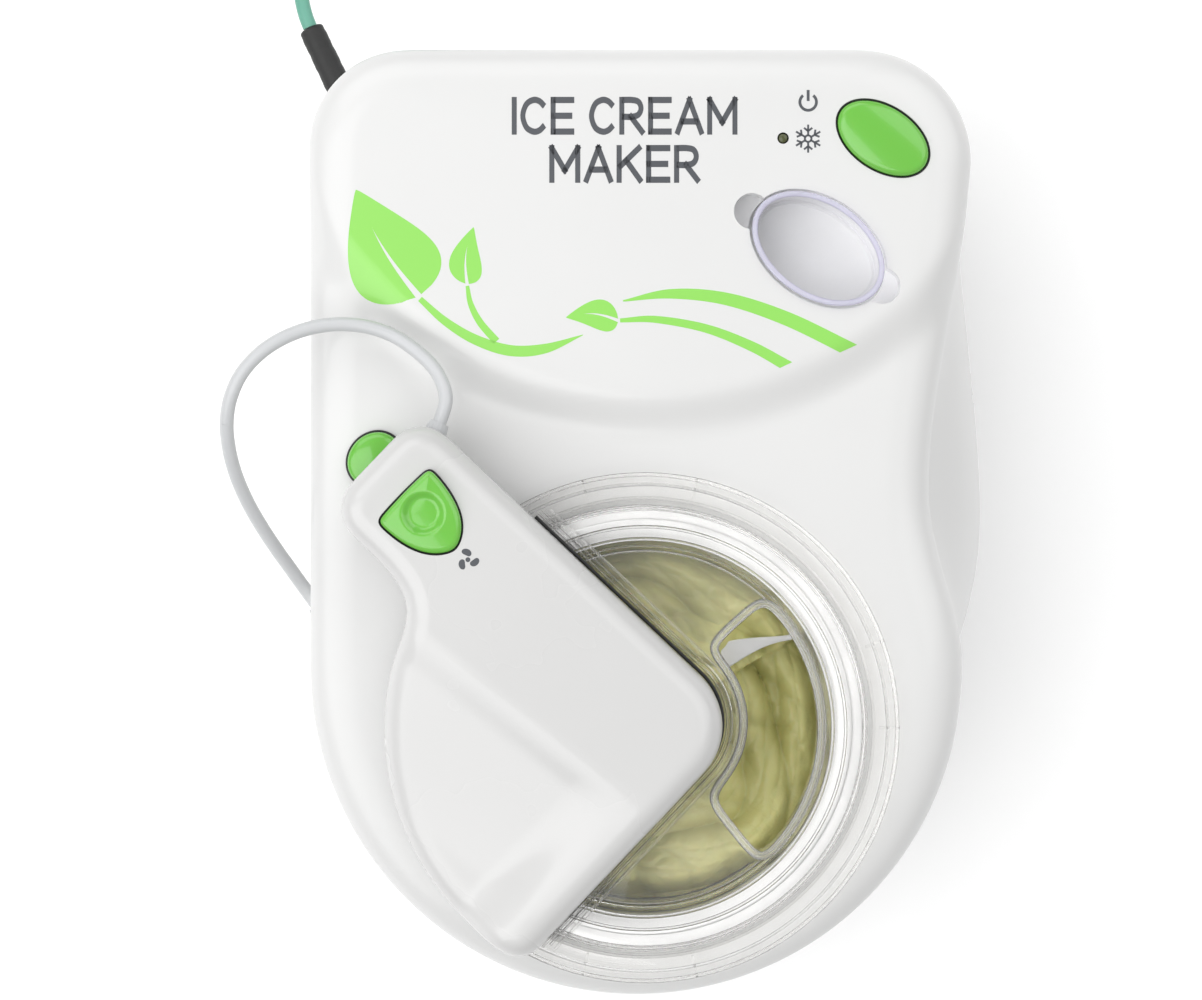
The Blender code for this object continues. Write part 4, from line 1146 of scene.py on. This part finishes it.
sprig = {
    "bigLeaf": ((-119.6, 133.0), (-94.6, 90.6), 17.6, 0.05, 1.3),
    "smallLeaf": ((-72.6, 118.0), (-75.2, 95.4), 6.4, 0.08, 0.7),
    "midLeaf": ((-35.8, 82.0), (-15.0, 80.8), 6.0, -0.10, 0.7),
    "stems": [
        (
            [(-94.0, 89.4), (-84, 80.5), (-72, 73.2), (-58, 68.8), (-44, 69.6), (-29, 75.0)],
            (1.1, 1.6, 2.0, 2.2, 1.9, 0.15),
            0,
        ),
        ([(-75.1, 94.6), (-73.8, 87.5), (-70.0, 80.0), (-63.5, 72.5)], (0.7, 1.1, 1.4, 1.5), 0),
        ([(-14.2, 80.8), (0, 81.2), (20, 77.6), (38, 70.6), (52, 63.0)], (0.8, 1.4, 1.7, 2.0, 2.2), 1.6),
        ([(-13, 88.6), (6, 91.4), (28, 89.4), (52, 81.6), (77, 69.6)], (0.3, 1.9, 2.5, 2.8, 2.9), 2.4),
    ],
}


def buildSprig():
    for name in ("bigLeaf", "smallLeaf", "midLeaf"):
        printed(name, leaf(*sprig[name]), leafPrint)
    for i, (points, widths, skew) in enumerate(sprig["stems"]):
        printed("stem%d" % i, [strip(points, widths, 14, skew=skew)], leafPrint)


def circleStrip(centre, radius, start, end, width, steps=40):
    # an arc band: three radii, half a width either side, times (cosine, sine)
    a = np.radians(np.linspace(start, end, steps))
    spokes = np.stack([np.cos(a), np.sin(a)], axis=1)
    rows = [np.array(centre) + r * spokes for r in np.linspace(radius - width / 2, radius + width / 2, 3)]
    return rows


def bar(start, end, width):
    # a straight band: half the width to each side of the line
    start, end = np.array(start, float), np.array(end, float)
    along = (end - start) / np.linalg.norm(end - start)
    side = np.array([-along[1], along[0]]) * width / 2
    line = start + (end - start) * np.linspace(0, 1, 8)[:, None]
    return [line - side, line, line + side]


icons = {"power": (60.8, 167.9), "cold": (60.8, 153.3), "ring": 3.3, "arm": 5.6, "line": 1.15, "thin": 0.8}


def buildIcons():
    # a broken ring with an upright bar, and six arms with twigs round a small ring
    s = icons
    power, cold = np.array(s["power"]), np.array(s["cold"])
    upright = bar(power + (0, 0.4), power + (0, 4.8), s["line"])
    printed("powerIcon", [circleStrip(power, s["ring"], 128, 412, s["line"]), upright], darkPrint)
    grids = [circleStrip(cold, 1.3, 0, 360, s["thin"], 25)]
    for angle in np.radians(np.arange(30, 390, 60)):
        way = np.array([math.cos(angle), math.sin(angle)])
        grids.append(bar(cold + way * 1.2, cold + way * s["arm"], s["thin"]))
        for turn in np.radians((-52, 52)):
            twig = np.array([math.cos(angle + turn), math.sin(angle + turn)])
            grids.append(bar(cold + way * 3.0, cold + way * 3.0 + twig * 2.1, s["thin"]))
    printed("coldIcon", grids, darkPrint)


title = {
    "lines": (("ICE CREAM", (-12.4, 162.4), 88.0), ("MAKER", (-12.4, 143.2), 58.0)),
    "tall": 12.6,
    "line": 2.5,
    "gap": 0.34,
    "letters": {
        " ": [[(0, 2), (0.1, 2)]],
        "I": [[(0, 0), (0, 1)]],
        "C": [
            [
                (0.86, 0.8),
                (0.66, 0.96),
                (0.42, 1),
                (0.14, 0.86),
                (0, 0.5),
                (0.14, 0.14),
                (0.42, 0),
                (0.66, 0.04),
                (0.86, 0.2),
            ]
        ],
        "E": [[(0, 0), (0, 1)], [(0, 1), (0.74, 1)], [(0, 0.5), (0.66, 0.5)], [(0, 0), (0.74, 0)]],
        "R": [
            [(0, 0), (0, 1)],
            [(0, 1), (0.4, 1), (0.66, 0.94), (0.76, 0.74), (0.66, 0.54), (0.4, 0.47), (0, 0.47)],
            [(0.36, 0.47), (0.8, 0)],
        ],
        "A": [[(0, 0), (0.46, 1)], [(0.46, 1), (0.92, 0)], [(0.2, 0.32), (0.72, 0.32)]],
        "M": [[(0, 0), (0, 1)], [(0, 1), (0.5, 0.3)], [(0.5, 0.3), (1, 1)], [(1, 1), (1, 0)]],
        "K": [[(0, 0), (0, 1)], [(0.06, 0.44), (0.76, 1)], [(0.28, 0.6), (0.8, 0)]],
    },
}


def buildTitle():
    # plain words drawn with one pen width: straight strokes as bars, bent ones as bands through their points
    s = title
    half = s["line"] / s["tall"] / 2
    for index, (words, centre, width) in enumerate(s["lines"]):
        grids, at = [], 0.0
        for letter in words:
            strokes = [np.array(stroke, float) for stroke in s["letters"][letter]]
            for stroke in strokes if letter != " " else []:
                stroke = stroke + (at, 0)
                if len(stroke) == 2:
                    way = (stroke[1] - stroke[0]) / np.linalg.norm(stroke[1] - stroke[0])
                    longer = way * half * 0.98
                    grids.append(np.array(bar(stroke[0] - longer, stroke[1] + longer, half * 2)))
                else:
                    grids.append(strip(stroke, [half] * len(stroke), 8))
            at += max(stroke[:, 0].max() for stroke in strokes) + s["gap"]
        wide = at - s["gap"]
        middle, size = np.array([wide / 2, 0.5]), np.array([width / wide, s["tall"]])
        printed("title" + "AB"[index], [(grid - middle) * size + centre for grid in grids], darkPrint)


buildSprig()
buildIcons()
buildTitle()
print("marks printed")


def buildBowl():
    # thin bowl and well, each one profile turned about the axis
    z0, z1 = bowlLow[2], bowlHigh[2]
    inner = [(3.6, 98.6), (3.7, 91.4), (8.0, z0 + 1.3), (62.0, z0 + 1.2)]
    inner += [(70.5, z0 + 3.6), (74.6, z0 + 10), (74.6, z1 - 2.2), (75.6, z1 - 0.2)]
    rim = [(82.9, z1), (83.5, z1 - 0.5), (83.3, z1 - 1.4), (76.6, z1 - 1.5), (75.8, z1 - 3)]
    outer = [(75.8, z0 + 10), (71.4, z0 + 2.8), (63.0, z0), (4.0, z0)]
    profile = roundedProfile(inner + rim + outer, 2.5, 4)
    bowl = turnedMesh("bowlShell", profile, 120)
    piece(bowl, "bowl", aluminium, ["bowl"])
    well = [(4, 84), (71, 84), (78.5, 91), (78.5, 185.4), (94, 185.4)]
    well += [(94, 187), (77, 187), (77, 92), (70, 85.5), (4, 85.5)]
    line = roundedProfile(well + [well[0]], 1.6, 4)[1:]
    shell = turnedMesh("wellShell", line, 96, ringShaped=True)
    piece(shell, "housing", aluminium, ["evaporator_well"])


paddle = {"angle": math.radians(30), "low": 94.0, "top": 176.0, "reach": 71.0}


def bladeMesh(name, reach, turn, low, top, lean):
    # a curved plate that bows sideways along its reach; its top edge is wide near the hub, thin at the tip
    t = np.linspace(0, 1, 36)
    s = 6 + (reach - 6) * t
    a = paddle["angle"] + turn
    along = np.array([math.cos(a), math.sin(a)])
    across = np.array([-along[1], along[0]])
    bow = lean * np.sin(np.pi * t**1.1)
    half = 5.4 - 4.2 * smoothStep((t - 0.5) / 0.46)
    drop = 3.5 * smoothStep((t - 0.7) / 0.3)
    left, right = [(-0.45, low), (-0.45, top - 16), (-1, top)], [(1, top), (0.45, top - 16), (0.45, low)]
    shape = roundedProfile(left + right + [left[0]], 1.4, 4)[1:-1]
    aside = bow[:, None] + half[:, None] * shape[None, :, 0]
    xy = axis + along * s[:, None, None] + across * aside[..., None]
    z = shape[None, :, 1] - drop[:, None] * smoothStep((shape[None, :, 1] - top + 20) / 20)
    rings = np.concatenate([xy, z[..., None]], axis=-1)
    return ringMesh(name, rings)


def buildPaddle():
    # a turned hub that stands on the bowl's post, with curved blades on it
    corners = [(4.4, 91.8), (11, 91.8), (11, 142), (9.4, 188), (6.4, 188), (6.4, 171), (0.6, 171)]
    profile = roundedProfile(corners, 1.2, 4)
    profile[:, 1] = np.clip(profile[:, 1], 91.8, 188)
    inner = [(0.6, 101), (4.4, 101), (4.4, 92.0)]
    hub = turnedMesh("paddleHub", np.vstack([profile, inner]), 64)
    blades = [bladeMesh("bladeLong", paddle["reach"], 0, paddle["low"], paddle["top"], 8.0)]
    blades.append(bladeMesh("bladeShort", 50.0, math.pi, paddle["low"], paddle["top"] - 26, -4.0))
    combine(hub, blades, "UNION")
    piece(hub, "paddle", innerWhite, ["paddle"])


def buildIceCream():
    # churned heap: level drops at the rim and hub, with spiral folds, ripples and seeded lumps
    rng = np.random.default_rng(7)
    rows, cols = 150, 300
    r = np.linspace(11.5, 74.2, rows)[:, None]
    a = np.linspace(0, 2 * np.pi, cols, endpoint=False)[None, :]
    lag = (a - paddle["angle"]) % (2 * np.pi)
    z = 165.5 + 3.0 * np.exp(-lag * 0.9) - 2.2 * smoothStep((lag - 5.0) / 1.2)
    z = z - 7.0 * smoothStep((r - 64) / 11) - 3.5 * smoothStep((26 - r) / 14)
    swept = (a - paddle["angle"] - 0.16 + np.pi) % (2 * np.pi) - np.pi
    z = z + 13 * np.exp(-((swept / 0.42) ** 2)) * smoothStep((44 - r) / 8)
    z = z + 7 * np.exp(-(((swept - 0.2) / 0.17) ** 2)) * smoothStep((74 - r) / 12)
    sway = 0.9 * np.sin(2 * a + 0.5) + 0.5 * np.sin(5 * a + 2.1) + 0.35 * np.sin(0.11 * r + 3 * a)
    fold = np.abs(np.sin(0.15 * r + 1.2 * lag + sway))
    z = z + 4.6 * fold**0.7
    crease = np.abs(np.sin(0.42 * r - 1.6 * lag + 1.6 * sway))
    z = z + 0.8 * crease**0.6
    x, y = r * np.cos(a), r * np.sin(a)
    for size, high in ((21.0, 3.4), (11.0, 1.9), (5.0, 0.8)):
        waves = 0
        for _ in range(7):
            way, shift = rng.uniform(0, 2 * np.pi, 2)
            bend = 0.9 * np.sin((x * math.sin(way) - y * math.cos(way)) / size + shift)
            waves = waves + np.sin((x * math.cos(way) + y * math.sin(way)) / size * 2 + bend + shift)
        z = z - high * (1 - np.abs(np.clip(waves / 2.6, -1, 1)) ** 0.8)
    for _ in range(90):
        px, py = rng.uniform(-70, 70, 2)
        wide = rng.uniform(2.5, 9.0)
        high = rng.uniform(-1.3, 1.6)
        long = rng.uniform(1.2, 2.8)
        turn = math.atan2(py, px) + math.pi / 2 + rng.uniform(-0.5, 0.5)
        dx, dy = x - px, y - py
        u = dx * math.cos(turn) + dy * math.sin(turn)
        v = -dx * math.sin(turn) + dy * math.cos(turn)
        z = z + high * np.exp(-((u / (wide * long)) ** 2) - (v / wide) ** 2)
    top = np.stack([axis[0] + x, axis[1] + y, z], axis=-1)
    skirt = [np.column_stack([top[-1, :, :2], np.full(cols, h)]) for h in (158.0, 128.0, 100.0)]
    skirt.append(np.column_stack([axis + (top[-1, :, :2] - axis) * 0.9, np.full(cols, 91.5)]))
    under = [np.column_stack([top[0, :, :2], np.full(cols, h)]) for h in (91.5, 130.0)]
    rings = np.concatenate([top, skirt, under])
    cream = ringMesh("iceCreamHeap", rings, ringShaped=True, sharp=75)
    return piece(cream, "bowl", iceCream)


buildBowl()
buildPaddle()
buildIceCream()
print("bowl filled")


def portLoop(inset, count=180):
    # between two radii of the bowl, with straight ends beside the motor unit and round corners
    reach = unit["corner"] + 8.5
    parts = [
        arcPoints(0, 0, 72.0, -92, 7, 60),
        np.array([(unit["lobeEdge"] + 8.5, 3.8)]),
        arcPoints(1.4, unit["edge"] + unit["corner"], reach, -6, -84, 40),
        np.array([(-5.0, unit["edge"] - 8.5)]),
    ]
    loop = evenly(np.vstack(parts), count)
    for _ in range(34):
        loop = (np.roll(loop, 1, axis=0) + 2 * loop + np.roll(loop, -1, axis=0)) / 4
    loop = insetLoop(loop, inset)
    return unitPoint(loop[:, 0], loop[:, 1])


lidRibs = (  # radius, height, half thickness
    (101.0, 195.0, 0.9),
    (97.0, 195.0, 0.7),
    (91.4, 193.0, 0.9),
    (87.4, 198.0, 0.8),
    (80.2, 198.0, 0.7),
    (75.4, 195.0, 0.8),
)
bayonets = ((104, 97), (78, 97), (256, 97), (282, 97), (20, 98), (0, 98))  # degrees, radius


def buildLid():
    # one turned shell with a stepped rim, joined to the port's wall and opened there, with round ribs on it
    outside = [(101.6, 190.3), (101.6, 195.0), (97.4, 195.0), (96.8, 192.7), (91.8, 192.7)]
    outside += [(88.6, 198.0), (80.2, 198.0), (76.0, 195.0), (8.2, 195.0)]
    inside = [(8.2, 193.0), (70.6, 193.0), (70.6, 183.2), (72.6, 183.2), (72.6, 192.6)]
    inside += [(77.0, 193.2), (80.6, 196.0), (87.4, 196.0), (90.4, 190.3)]
    line = roundedProfile(outside + inside + [outside[0]], 0.7, 4)[1:]
    lid = turnedMesh("lidShell", line, 200, ringShaped=True)
    levels = ((0.2, 186.2), (0, 186.6), (0, 198.9), (0.3, 199.7), (0.9, 200.0))
    wall = ringMesh("portWall", [lifted(portLoop(-0.6 + d), z) for d, z in levels], caps=("flat", "flat"))
    combine(lid, [wall], "UNION")
    combine(lid, [prismMesh("portSpace", portLoop(2.9), 180, 205)], "DIFFERENCE")
    piece(lid, "lid", clearPlastic, ["lid"])
    rim = []
    for t in np.linspace(0, 2 * np.pi, 16, endpoint=False):
        rim.append(lifted(portLoop(1.15 + 1.75 * math.cos(t)), 199.7 + 1.4 * math.sin(t)))
    piece(ringMesh("portRim", rim, ringShaped=True, sharp=80), "lid", shadedClearRim)
    for i, (r, z, wide) in enumerate(lidRibs):
        turns = np.linspace(0, 2 * np.pi, 14, endpoint=False)
        ring = [(r + wide * math.cos(t), z + wide * math.sin(t)) for t in turns]
        rib = turnedMesh("lidRib%d" % i, ring, 200, ringShaped=True, sharp=80)
        piece(rib, "lid", clearPlastic)
    for i, (angle, r) in enumerate(bayonets):
        a = math.radians(angle)
        place = axis + r * np.array([math.cos(a), math.sin(a)])
        way = np.array([math.cos(a), math.sin(a)])
        side = np.array([-way[1], way[0]])
        corners = ((-4, -0.5), (4, -0.5), (4, 0.5), (-4, 0.5))
        loop = np.array([place + way * p + side * q for p, q in corners])
        loop = evenly(loop, 40)
        piece(prismMesh("bayonetRib%d" % i, loop, 192.8, 195.4), "lid", clearPlastic)


def unitEdge(grow, steps=40):
    # the motor unit's two straight edges and the round corner between them
    r = unit["corner"] + grow
    corner = arcPoints(1.4, unit["edge"] + unit["corner"], r, -90, 0, steps)
    first = np.stack([np.linspace(-94, 0, steps), np.full(steps, unit["edge"] - grow)], axis=1)
    last = np.stack([np.full(steps, unit["lobeEdge"] + grow), np.linspace(-3, 96, steps)], axis=1)
    return np.vstack([first, corner[1:], last[1:]])


def edgeBand(name, near, far, low, high):
    # one four-sided ring for each place along the two edges: inner wall up, top across, outer wall down
    sides = []
    for grow in (near, far):
        line = unitEdge(grow)
        line = evenly(line[np.hypot(line[:, 0], line[:, 1]) < 96], 150, False)
        sides.append(unitPoint(line[:, 0], line[:, 1]))
    inner, outer = sides
    shy = (outer - inner) * 0.3
    lift = [(inner, low), (inner, high - 0.3), (inner + shy, high)]
    lift += [(outer - shy, high), (outer, high - 0.3), (outer, low)]
    rings = np.stack([np.column_stack([xy, np.full(len(xy), z)]) for xy, z in lift], axis=1)
    return ringMesh(name, rings)


def buildLidGuides():
    # thin clear walls that frame the motor unit, and a black strip under its edge that paints the shadow in
    # the gap below the unit
    walls = (("guideNear", 2.2, 3.2, 201.0), ("guideMiddle", 4.0, 5.0, 199.6), ("guideFar", 6.4, 7.6, 198.6))
    for name, near, far, high in walls:
        piece(edgeBand(name, near, far, 195.2, high), "lid", clearPlastic)
    # painted shadow: a black rubber strip standing in for the shade in the gap under the unit's edge
    piece(edgeBand("unitShadowStrip", 0.1, 1.5, 199.2, 202.9), "motor_unit", rubber)


buildLid()
buildLidGuides()
print("lid made")


unitTop = {
    "ridge": (-98.0, 32.5, 8.0, 22.3),
    "scoop": 17.0,
    "reach": 62.0,
    "edge": 9.5,
    "high": 242.4,
    "tailDrop": 3.4,
    "lean": 0.085,
    "fade": -8.0,
}


def unitLoop(count=420, inset=0.0):
    # outline in the unit's own axes: tail, straight edges, round corner and lobe arc, joined and smoothed
    s = unit
    lobeU = s["lobeEdge"] - s["lobeCorner"]
    lobeV = math.sqrt((s["lobe"] - s["lobeCorner"]) ** 2 - lobeU**2)
    meet = math.degrees(math.atan2(lobeV, lobeU))
    tail, side = s["tailRadius"], 22.2
    corners = [(-90.0, 48.6), (-96.1, 35.0), (-100.6, 28.6), (-107.0, 24.8), (-116.0, 22.8), (-126.0, side)]
    hollow = throughPoints(corners, 10)
    parts = [
        arcPoints(1.4, s["edge"] + s["corner"], s["corner"], -90, 0, 50),
        arcPoints(lobeU, lobeV, s["lobeCorner"], 0, meet, 24),
        arcPoints(0, 0, s["lobe"], meet + 0.5, 151, 110),
        hollow[3:],
        arcPoints(s["tailU"] + tail, side - tail, tail, 90, 180, 30),
        arcPoints(s["tailU"] + tail, s["edge"] + tail, tail, 180, 270, 30),
    ]
    loop = evenly(np.vstack(parts), count)
    for _ in range(5):
        loop = (np.roll(loop, 1, axis=0) + 2 * loop + np.roll(loop, -1, axis=0)) / 4
    return insetLoop(loop, inset)


def unitHeight(u, v):
    # a nearly flat bar up to the ridge, then a scoop that falls away towards the lobe's rim
    s = unitTop
    u0, v0, u1, v1 = s["ridge"]
    w = v - (v0 + (u - u0) * (v1 - v0) / (u1 - u0))
    slope = s["lean"] * np.clip(-w - 3, 0, None) + 0.0009 * np.clip(-w - 8, 0, None) ** 2
    bar = s["high"] - s["tailDrop"] * smoothStep((-60 - u) / 80) - slope
    lip = 3.2 * smoothStep(w / 14) * (1 - smoothStep((w - 14) / 40))
    fall = s["scoop"] * smoothStep(w / s["reach"]) + lip
    return bar - fall * smoothStep((u + 118) / 36) * (1 - 0.72 * smoothStep((u - s["fade"]) / 24))


def buildMotorUnit():
    # side walls, then rings drawn towards one middle point, lowered near the outline for a rounded edge
    s = unitTop
    loop = unitLoop()
    middle = np.array([-44.0, 6.0])
    r = s["edge"]
    walls = [(0.7, 203.3), (0.1, 204.2), (0.0, 206.0), (0.0, 212.0)]
    rings = []
    for inset, z in walls:
        flat = insetLoop(loop, inset)
        rings.append(lifted(unitPoint(flat[:, 0], flat[:, 1]), z))
    fractions = 1 - np.cos(np.linspace(0, np.pi / 2, 14))
    for f in fractions:
        flat = insetLoop(loop, r * f)
        edgeDrop = r - math.sqrt(max(r * r - (r - r * f) ** 2, 0))
        z = unitHeight(flat[:, 0], flat[:, 1]) - edgeDrop
        rings.append(lifted(unitPoint(flat[:, 0], flat[:, 1]), z))
    last = insetLoop(loop, r)
    for t in np.linspace(0, 1, 60)[1:]:
        flat = last + (middle - last) * t
        if t == 1:
            flat = middle + (last - middle) * 0.004
        rings.append(lifted(unitPoint(flat[:, 0], flat[:, 1]), unitHeight(flat[:, 0], flat[:, 1])))
    cover = ringMesh("motorUnitCover", rings, caps=(False, True))
    cover = walled(outward(cover), 2.2)
    hole = pickLoop(0.8)
    start, end = cablePoint(3), cablePoint(20)
    cutters = [prismMesh("cutMix", hole, 225, 255), sweptMesh("cutGrommet", [start, end], 5.0, 28)]
    combine(cover, cutters, "DIFFERENCE")
    piece(cover, "motor_unit", shadedUnitWhite, ["motor_unit_cover"])

    tray = [(5.0, 199.0), (1.6, 199.6), (0.8, 201.0), (0.8, 203.0), (3.4, 203.0), (3.4, 201.2)]
    rings = []
    for inset, z in tray:
        flat = insetLoop(loop, inset)
        rings.append(lifted(unitPoint(flat[:, 0], flat[:, 1]), z))
    base = ringMesh("motorUnitBase", rings)
    foot = evenly(np.array([(-140, -20), (-113, -20), (-113, 12), (-140, 12)], float), 120)
    for _ in range(20):
        foot = (np.roll(foot, 1, axis=0) + 2 * foot + np.roll(foot, -1, axis=0)) / 4
    footXY = unitPoint(foot[:, 0], foot[:, 1])
    tongue = unitPoint(np.array([-137.4, -130.6, -130.6, -137.4]), np.array([-9.6, -9.6, 1.6, 1.6]))
    feet = [prismMesh("tailFoot", footXY, 190.4, 200), prismMesh("tongue", tongue, 181.2, 194)]
    combine(base, feet, "UNION")
    combine(base, [prismMesh("bushHole", ovalLoop(axis, (9.3, 9.3), 0, 48), 190, 210)], "DIFFERENCE")
    piece(base, "motor_unit", shadedUnitWhite, ["motor_unit_base"])


mixButton = {
    "place": (-121.5, -3.3),
    "corners": ((18.6, 1.8), (-10.6, 14.6), (-10.2, -14.2)),
    "sides": ((8.6, 11.9), (-10.9, 0.2), (10.0, -9.6)),
}


def pickLoop(grow=0.0, count=150):
    # a triangle of three bowed sides through given middles, its corners rounded by averaging neighbours
    s = mixButton
    corners, sides = np.array(s["corners"]), np.array(s["sides"])
    t = np.linspace(0, 1, 30, endpoint=False)[:, None]
    parts = []
    for start, through, end in zip(corners, sides, np.roll(corners, -1, axis=0)):
        pull = 2 * through - (start + end) / 2
        parts.append((1 - t) ** 2 * start + 2 * t * (1 - t) * pull + t * t * end)
    loop = evenly(np.vstack(parts), count)
    for _ in range(16):
        loop = (np.roll(loop, 1, axis=0) + 2 * loop + np.roll(loop, -1, axis=0)) / 4
    loop = insetLoop(loop, -grow) + np.array(s["place"])
    return unitPoint(loop[:, 0], loop[:, 1])


def cablePoint(reach):
    # a point that far along the line by which the cable leaves the tail's corner
    a = math.radians(250)
    u = unit["tailU"] + unit["tailRadius"] + reach * math.cos(a)
    v = unit["edge"] + unit["tailRadius"] + reach * math.sin(a)
    return np.array([*unitPoint(u, v), 211.0])


def buildMixButton():
    # the pick-shaped cap stands level at the bar's height at its middle and has a round finger dimple
    place = unitPoint(*mixButton["place"])
    face = float(unitHeight(*mixButton["place"]))
    levels = [(-4.0, face - 5.4), (0.0, face - 4.4), (0.0, face + 0.9)]
    levels += [(-0.3, face + 1.7), (-1.0, face + 2.3), (-2.2, face + 2.7)]
    rings = [lifted(pickLoop(grow), z) for grow, z in levels]
    edge = pickLoop(-2.2)
    for t in np.linspace(0, 1, 26)[1:]:
        loop = edge + (place - edge) * min(t, 0.996)
        away = np.linalg.norm(loop - place, axis=1)
        z = face + 2.7 + 0.7 * (1 - (1 - t) ** 2) - 2.3 * (1 - smoothStep((away - 5.2) / 3.8))
        rings.append(lifted(loop, z))
    button = ringMesh("mixButtonCap", rings)
    piece(button, "mixing_button", greenPlastic, ["mixing_button"])
    edges = ((0.75, face - 5), (0.75, face - 1.4), (0.25, face - 1.4), (0.25, face - 5))
    ring = [lifted(pickLoop(grow), z) for grow, z in edges]
    piece(ringMesh("mixGasket", ring, ringShaped=True), "motor_unit", blackPlastic)


def surfaceHeight(x, y):
    # the motor unit's top, read back at frame coordinates
    c, s = math.cos(unit["angle"]), math.sin(unit["angle"])
    dx, dy = x - axis[0], y - axis[1]
    return unitHeight(dx * c - dy * s, -dx * s - dy * c)


def buildFanIcon():
    # three blades, each a band of angles that swells and turns as the radius grows
    centre = unitPoint(-96.5, -2.0)
    grids = []
    for turn in np.radians((80, 200, 320)):
        t = np.linspace(0, 1, 24)[None, :]
        k = np.linspace(-1, 1, 9)[:, None]
        spread = 0.60 * np.clip(np.sin(np.pi * t**0.8), 0.02, None) ** 0.5
        a = turn + 0.55 * t + k * spread
        r = 1.35 + 3.1 * t
        grids.append(np.stack([centre[0] + r * np.cos(a), centre[1] + r * np.sin(a)], axis=-1))
    grids.append(circleStrip(centre, 0.5, 0, 360, 0.9, 25))
    printed("fanIcon", grids, darkPrint, surfaceHeight, "motor_unit")


buildMotorUnit()
buildMixButton()
buildFanIcon()
print("motor unit made")


keptFinishes = {
    "aluminium": aluminium,
    "steel": steel,
    "copper": copper,
    "black_steel": blackSteel,
    "foam": foamFinish,
    "gear_nylon": nylon,
    "circuit_board": boardFinish,
    "black_plastic": blackPlastic,
    "black_rubber": rubber,
    "base_grey": greyPlastic,
    "housing_white": whitePlastic,
    "lead_white": whiteLead,
    "lead_teal": tealLead,
    "button_green": greenPlastic,
    "clear_plastic": clearPlastic,
}
slotOf = {entry["node"]: entry["material_slot"] for entry in frame["record"]["subparts"]}
for node, obj in frame["nodes"].items():
    finishOf = whiteLead if node in ("cable_gland", "unit_grommet") else keptFinishes[slotOf[node]]
    for place in obj.material_slots:
        place.material = finishOf
print("frame pieces finished")
